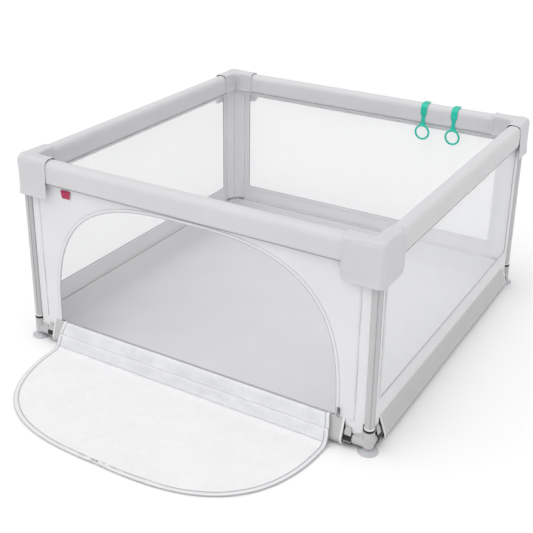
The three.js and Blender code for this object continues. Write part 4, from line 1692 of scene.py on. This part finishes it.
# ------------------------------------------------------------------ door
@dataclass
class Door:
    """The open door: an apron over the sill and a net panel that lies on the floor."""

    finishes: Finishes
    length: float = 476.0
    half: float = 497.0
    split: float = 42.0           # the apron is cut here, between its two hinges
    apron_end: float = 80.0       # the apron is sewn to the net here
    start: float = -7.0           # the cloth begins this far before the sill's hinge
    hinge: float = 11.0           # the hinge's place along the track
    tuck: float = 17.0            # how much narrower the door is at its sill
    tuck_reach: float = 45.0      # how fast the tuck fades

    def track(self) -> np.ndarray:
        """The door's side view from the sill to its far edge, as (out, height), every millimetre."""
        sharp = [(-600.5, 86.6), (-612.5, 87.2), (-646.5, 5.2), (-1092, 3.4)]
        return even(rounded(sharp, [0, 8, 26, 0], closed=False), 1.0)

    def height_at(self, distance: np.ndarray) -> tuple[np.ndarray, np.ndarray]:
        """Turns a distance along the cloth into a place.

        Args:
            distance: millimetres along the cloth from the hinge at the sill.

        Returns:
            The places along Y and Z.
        """
        line = self.track()
        lengths = np.r_[0, np.cumsum(np.linalg.norm(np.diff(line, axis=0), axis=1))]
        return (np.interp(distance + self.hinge, lengths, line[:, 0]),
                np.interp(distance + self.hinge, lengths, line[:, 1]))

    def outline(self, distance: np.ndarray) -> np.ndarray:
        """Half the door's width at a distance from the sill."""
        share = np.clip(distance / self.length, 0, 1)
        full = self.half * (1 - share ** ARCH_POWER) ** (1 / ARCH_POWER)
        return full - self.tuck * np.exp(-np.clip(distance + 9, 0, None) / self.tuck_reach)

    def placed(self, across: np.ndarray, distance: np.ndarray, lift: float = 0.0) -> np.ndarray:
        """Puts points of the flat door where they lie.

        Args:
            across: places along X.
            distance: distances along the cloth from the sill.
            lift: how far above the cloth.

        Returns:
            The points.
        """
        y, z = self.height_at(distance)
        flat = np.stack([across, distance, np.zeros_like(across)], axis=-1)
        far = np.clip((distance - 60) / 60, 0, 1)
        wave = ripples(flat, 95, 60.0).reshape(across.shape) * 2.2 + 1.2
        crinkle = ripples(flat * [1, 2.2, 1], 33, 61.0).reshape(across.shape) * 1.0
        near = 1 - np.clip((distance - 80) / 60, 0, 1)
        folds = ripples(flat * [0.7, 1.5, 1], 30, 62.0).reshape(across.shape) * 3.4 * near
        drape = np.exp(-((distance - 45) / 40) ** 2)
        inside = np.clip((self.outline(distance) - np.abs(across)) / 45, 0.12, 1)
        up = np.maximum(wave + crinkle, 0.2) * far * inside + lift
        out = folds * drape
        return grid_of(across, y - out * 0.9 - lift * drape * 0.8, z + up + np.abs(out) * 0.3)

    def apron_grid(self, first: float, last: float) -> np.ndarray:
        """Part of the door between two distances, from edge to edge."""
        rows = np.linspace(first, last, max(6, int((last - first) / 4.5)))
        columns = np.linspace(-1, 1, 150)
        across = self.outline(rows)[:, None] * columns[None]
        return self.placed(across, np.broadcast_to(rows[:, None], across.shape).copy())

    def panel_grid(self) -> np.ndarray:
        """The rest of the door: a grid whose edge follows the round outline."""
        wide, tall = np.meshgrid(np.linspace(-1, 1, 110), np.linspace(0, 1, 62))
        start = self.apron_end
        low = self.outline(np.array([start]))[0]
        ex, ey = wide * np.sqrt(1 - tall ** 2 / 2), tall * np.sqrt(1 - wide ** 2 / 2)
        radius = np.hypot(ex, ey)
        cos, sin = unit(np.stack([ex, ey], axis=-1)).transpose(2, 0, 1)
        stretch = (np.abs(cos) ** ARCH_POWER + np.abs(sin) ** ARCH_POWER + 1e-12) ** (-1 / ARCH_POWER)
        stretch = np.where(radius > 1e-9, stretch, 1.0)
        x, share = ex * stretch, ey * stretch
        distance = start + (self.length - start) * share
        limit = self.outline(distance)
        natural = low * np.maximum(1 - np.clip(share, 0, 1) ** ARCH_POWER, 0) ** (1 / ARCH_POWER)
        across = x * low * np.where(natural > 30, limit / np.maximum(natural, 1e-6), 1.0)
        return self.placed(across, distance)

    def edge_line(self, inward: float) -> np.ndarray:
        """The door's edge from one end of the sill round to the other, as (across, distance)."""
        turns = np.linspace(0, math.pi, 900)
        across, far = arched(turns)
        far = far * (self.length - inward)
        half = self.half - inward - self.tuck * np.exp(-(far + 9) / self.tuck_reach)
        line = np.stack([across * half, far], axis=1)
        first, last = line[0].copy(), line[-1].copy()
        first[1] = last[1] = self.start
        return even(np.vstack([first, line, last]), 6.0)

    def bound(self, first: float, last: float) -> Shape:
        """The binding and zip tape on the door's edge between two distances.

        Args:
            first: where it starts, along the cloth.
            last: where it ends.

        Returns:
            The tapes and stitches.
        """
        shapes = []
        for inward, width, thick, tag, lift in ((5.5, 11.0, 1.6, 0, 0.3), (12.0, 2.2, 1.8, 2, 0.5),
                                                (0.2, 2.6, 2.0, 3, 0.1), (8.6, 1.0, 0.9, 1, 1.3)):
            line = self.edge_line(inward)
            inside = np.flatnonzero((line[:, 1] >= first - 0.01) & (line[:, 1] <= last + 0.01))
            for run in np.split(inside, np.flatnonzero(np.diff(inside) > 1) + 1):
                if len(run) < 3:
                    continue
                middle = self.placed(line[run, 0], line[run, 1], lift)
                ahead = np.gradient(middle, axis=0)
                step = self.placed(line[run, 0] * 0.985, line[run, 1], lift) - middle
                up = np.cross(step, ahead)
                up = unit(up * np.sign(up[:, 2:] + 1e-9))
                across = unit(np.cross(up, ahead))
                shapes.append(Shape.sweep(middle, across, up, lens(width, thick), tag=tag))
        return Shape.joined(shapes)

    def sill_tape(self) -> Shape:
        """The row of sewing that holds the apron to the sill."""
        across = np.linspace(-476, 476, 160)
        line = self.placed(across, np.full_like(across, -3.0), 1.6)
        tape = Shape.tape(line, (0, 0, 1), 2.4, 1.2, tag=2)
        return tape + stitches(line + [0, 0, 1.0], (0, 0, 1), STITCH, 1)

    def net_seam(self) -> Shape:
        """The stitches that join the apron to the net."""
        half = self.outline(np.array([self.apron_end]))[0] - 6
        across = np.linspace(-half, half, 170)
        line = self.placed(across, np.full_like(across, self.apron_end), 1.6)
        return stitches(line + [0, 0, 0.3], (0, 0, 1), STITCH, 1)

    def build(self) -> None:
        """Makes the door's pieces, which bend at the sill and at the floor."""
        f = self.finishes
        sill = Shape.lattice(self.apron_grid(self.start, self.split)).piece("apron_upper", [f.apron])
        lower_end = self.apron_end
        lower = Shape.lattice(self.apron_grid(self.split, lower_end)).piece("apron_lower", [f.apron])
        panel = Shape.lattice(self.panel_grid()).piece("door_net", [f.door_net])
        bands = [f.binding, f.thread, f.piping, f.coil]
        upper_trim = (self.bound(self.start, self.split) + self.sill_tape()).piece(
            "apron_upper_binding", bands, solid=True)
        lower_trim = (self.bound(self.split, self.length + 5) + self.net_seam()).piece(
            "door_binding", bands, solid=True)
        far = np.linspace(lower_end, self.length, 400)
        area = 2 * float(np.trapz(self.outline(far), far))
        for piece in (sill, upper_trim):
            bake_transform(piece)
        for piece in (lower, panel, lower_trim):
            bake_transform(piece)
        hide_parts("door_apron")
        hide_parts("door_panel")
        for piece in (sill, lower):
            thicken(piece, 0.7, -1.0)
        thicken(panel, 1.0)
        for piece in (sill, upper_trim, lower, panel, lower_trim):
            LOG.info("%s on the door, %d faces", piece.name, len(piece.data.polygons))
        for node in ("zip_slider", "zip_pull"):
            edge = dress(node, f.zip_metal).modifiers.new("Edge", "BEVEL")
            edge.width, edge.segments, edge.limit_method = 0.0005, 3, "ANGLE"


# ------------------------------------------------------------------ pull rings
@dataclass
class PullRings:
    """The two silicone rings inside the back rail, on the bands they hang from."""

    finishes: Finishes
    places: tuple[float, float] = (243.0, 360.0)
    height: float = 535.0
    major: float = 25.5
    minor: float = 3.7
    face: float = 25.0            # the band's back, in from the rail's middle
    band_low: float = 602.0

    def band(self) -> Shape:
        """The band over the rail, in a frame at the rail's middle with +Y inwards."""
        top = RAIL_TOP + 1.7
        sharp = [(-15, top), (self.face + 1.4, top), (self.face + 1.4, self.band_low + 0.3)]
        line = even(rounded(sharp, [0, 19, 0], closed=False), 2.0)
        path = grid_of(0, *line.T)
        across = np.broadcast_to([1.0, 0.0, 0.0], path.shape)
        out = unit(np.cross(across, np.gradient(path, axis=0)))
        return Shape.sweep(path, across, out, rounded(box(-12, -1.3, 12, 1.3), [1.2] * 4))

    def ring(self) -> Shape:
        """The ring and the neck that it hangs by."""
        section = circle(16, self.minor, self.minor) + [self.major, 0]
        torus = Shape.turned(section, 72, "y").moved(y=self.face + 3.4, z=self.height)
        high, low = self.band_low - 0.8, self.height + self.major - 3.5
        sharp = [(-8.6, high), (-7, 588), (-7.5, 574), (-15, low), (15, low), (7.5, 574), (7, 588),
                 (8.6, high)]
        x, z = rounded(sharp, [1, 12, 16, 1, 1, 16, 12, 1]).T
        layers = [(self.face + y, s) for y, s in ((0.1, 0.93), (0.7, 1.0), (2.4, 1.0), (3.1, 0.93))]
        middle = 580.0
        grid = np.stack([grid_of(x * s, y, (z - middle) * s + middle) for y, s in layers])
        return fused(torus + Shape.lattice(grid, wrap=True, caps=True), 0.8, 6)

    def build(self) -> None:
        """Makes both rings."""
        band, ring = self.band(), self.ring()
        for number, x in enumerate(self.places, start=1):
            place = Matrix.Translation((x, POST, 0)) @ Matrix.Rotation(math.pi, 4, "Z")
            sew(band, f"ring_band_{number}", [self.finishes.silicone], place,
                stands_for=[f"pull_strap_{number}"])
            sew(ring, f"silicone_ring_{number}", [self.finishes.silicone], place,
                f"pull_ring_{number}", [f"pull_ring_{number}"])


# ------------------------------------------------------------------ studio
@dataclass
class Studio:
    """Camera, lights and the pale floor."""

    eye: tuple[float, float, float] = (1.4447, -2.6161, 1.6442)
    yaw: float = -30.3359
    pitch: float = 22.4798
    roll: float = 0.7507
    lens: float = 64.280
    shift_y: float = -0.1248

    def camera(self) -> None:
        """Sets the camera at its place."""
        yaw, pitch, roll = (math.radians(a) for a in (self.yaw, self.pitch, self.roll))
        level = math.cos(pitch)
        ahead = Vector((math.sin(yaw) * level, math.cos(yaw) * level, -math.sin(pitch)))
        right = ahead.cross(Vector((0, 0, 1))).normalized()
        up = right.cross(ahead)
        turned = right * math.cos(roll) + up * math.sin(roll)
        above = up * math.cos(roll) - right * math.sin(roll)
        data = bpy.data.cameras.new("camera")
        data.lens, data.sensor_width, data.shift_y = self.lens, 36.0, self.shift_y
        data.clip_end = 120.0
        made = bpy.data.objects.new("camera", data)
        columns = Matrix((turned, above, -ahead)).transposed().to_4x4()
        made.matrix_world = Matrix.Translation(self.eye) @ columns
        bpy.context.scene.collection.objects.link(made)
        bpy.context.scene.camera = made

    @staticmethod
    def lamp(name: str, place: Sequence[float], spread: float, power: float) -> None:
        """Hangs a wide, even lamp that looks at the playpen from far off.

        Args:
            name: the lamp's name.
            place: where it hangs, in metres.
            spread: how wide it looks from the playpen, in degrees.
            power: its strength.
        """
        data = bpy.data.lights.new(name, "SUN")
        data.angle, data.energy = math.radians(spread), power
        made = bpy.data.objects.new(name, data)
        made.location = place
        made.rotation_euler = (-Vector(place)).to_track_quat("-Z", "Y").to_euler()
        bpy.context.scene.collection.objects.link(made)

    @staticmethod
    def world() -> None:
        """Fills the room with even white light."""
        world = bpy.data.worlds.new("room")
        world.use_nodes = True
        fill = world.node_tree.nodes["Background"]
        fill.inputs[0].default_value = (1.0, 1.0, 1.0, 1.0)
        fill.inputs[1].default_value = 0.65
        bpy.context.scene.world = world
        bpy.context.scene.view_settings.view_transform = "Standard"

    @staticmethod
    def floor() -> None:
        """Lays the pale floor, with the faintest clouding."""
        cuts = np.linspace(-30000, 30000, 61)
        shader = Shader("studio floor")
        tone = shader.mixed(shader.cloud(0.8, 2), linear("FAFAFA"), linear("FDFDFD"))
        material = shader.finished({"Base Color": tone, "Roughness": 0.9, "Specular IOR Level": 0.1})
        Shape.lattice(grid_of(cuts, cuts[:, None], -0.4)).piece("studio_floor", [material])

    def build(self) -> None:
        """Sets up the whole studio."""
        self.camera()
        self.world()
        self.lamp("key", (-1.1, -1.6, 4.0), 70.0, 1.25)
        self.lamp("fill", (3.0, -0.4, 3.6), 80.0, 0.25)
        self.floor()


def main() -> None:
    """Builds the playpen and its studio, in order."""
    logging.basicConfig(level=logging.INFO, format="%(name)s: %(message)s")
    finishes = Finishes()
    for part in (TopRails(finishes), CornerCovers(finishes), Feet(finishes), Walls(finishes),
                 FloorMat(finishes), Door(finishes), PullRings(finishes), Studio()):
        LOG.info("building %s", type(part).__name__)
        part.build()


if __name__ == "__main__":
    main()
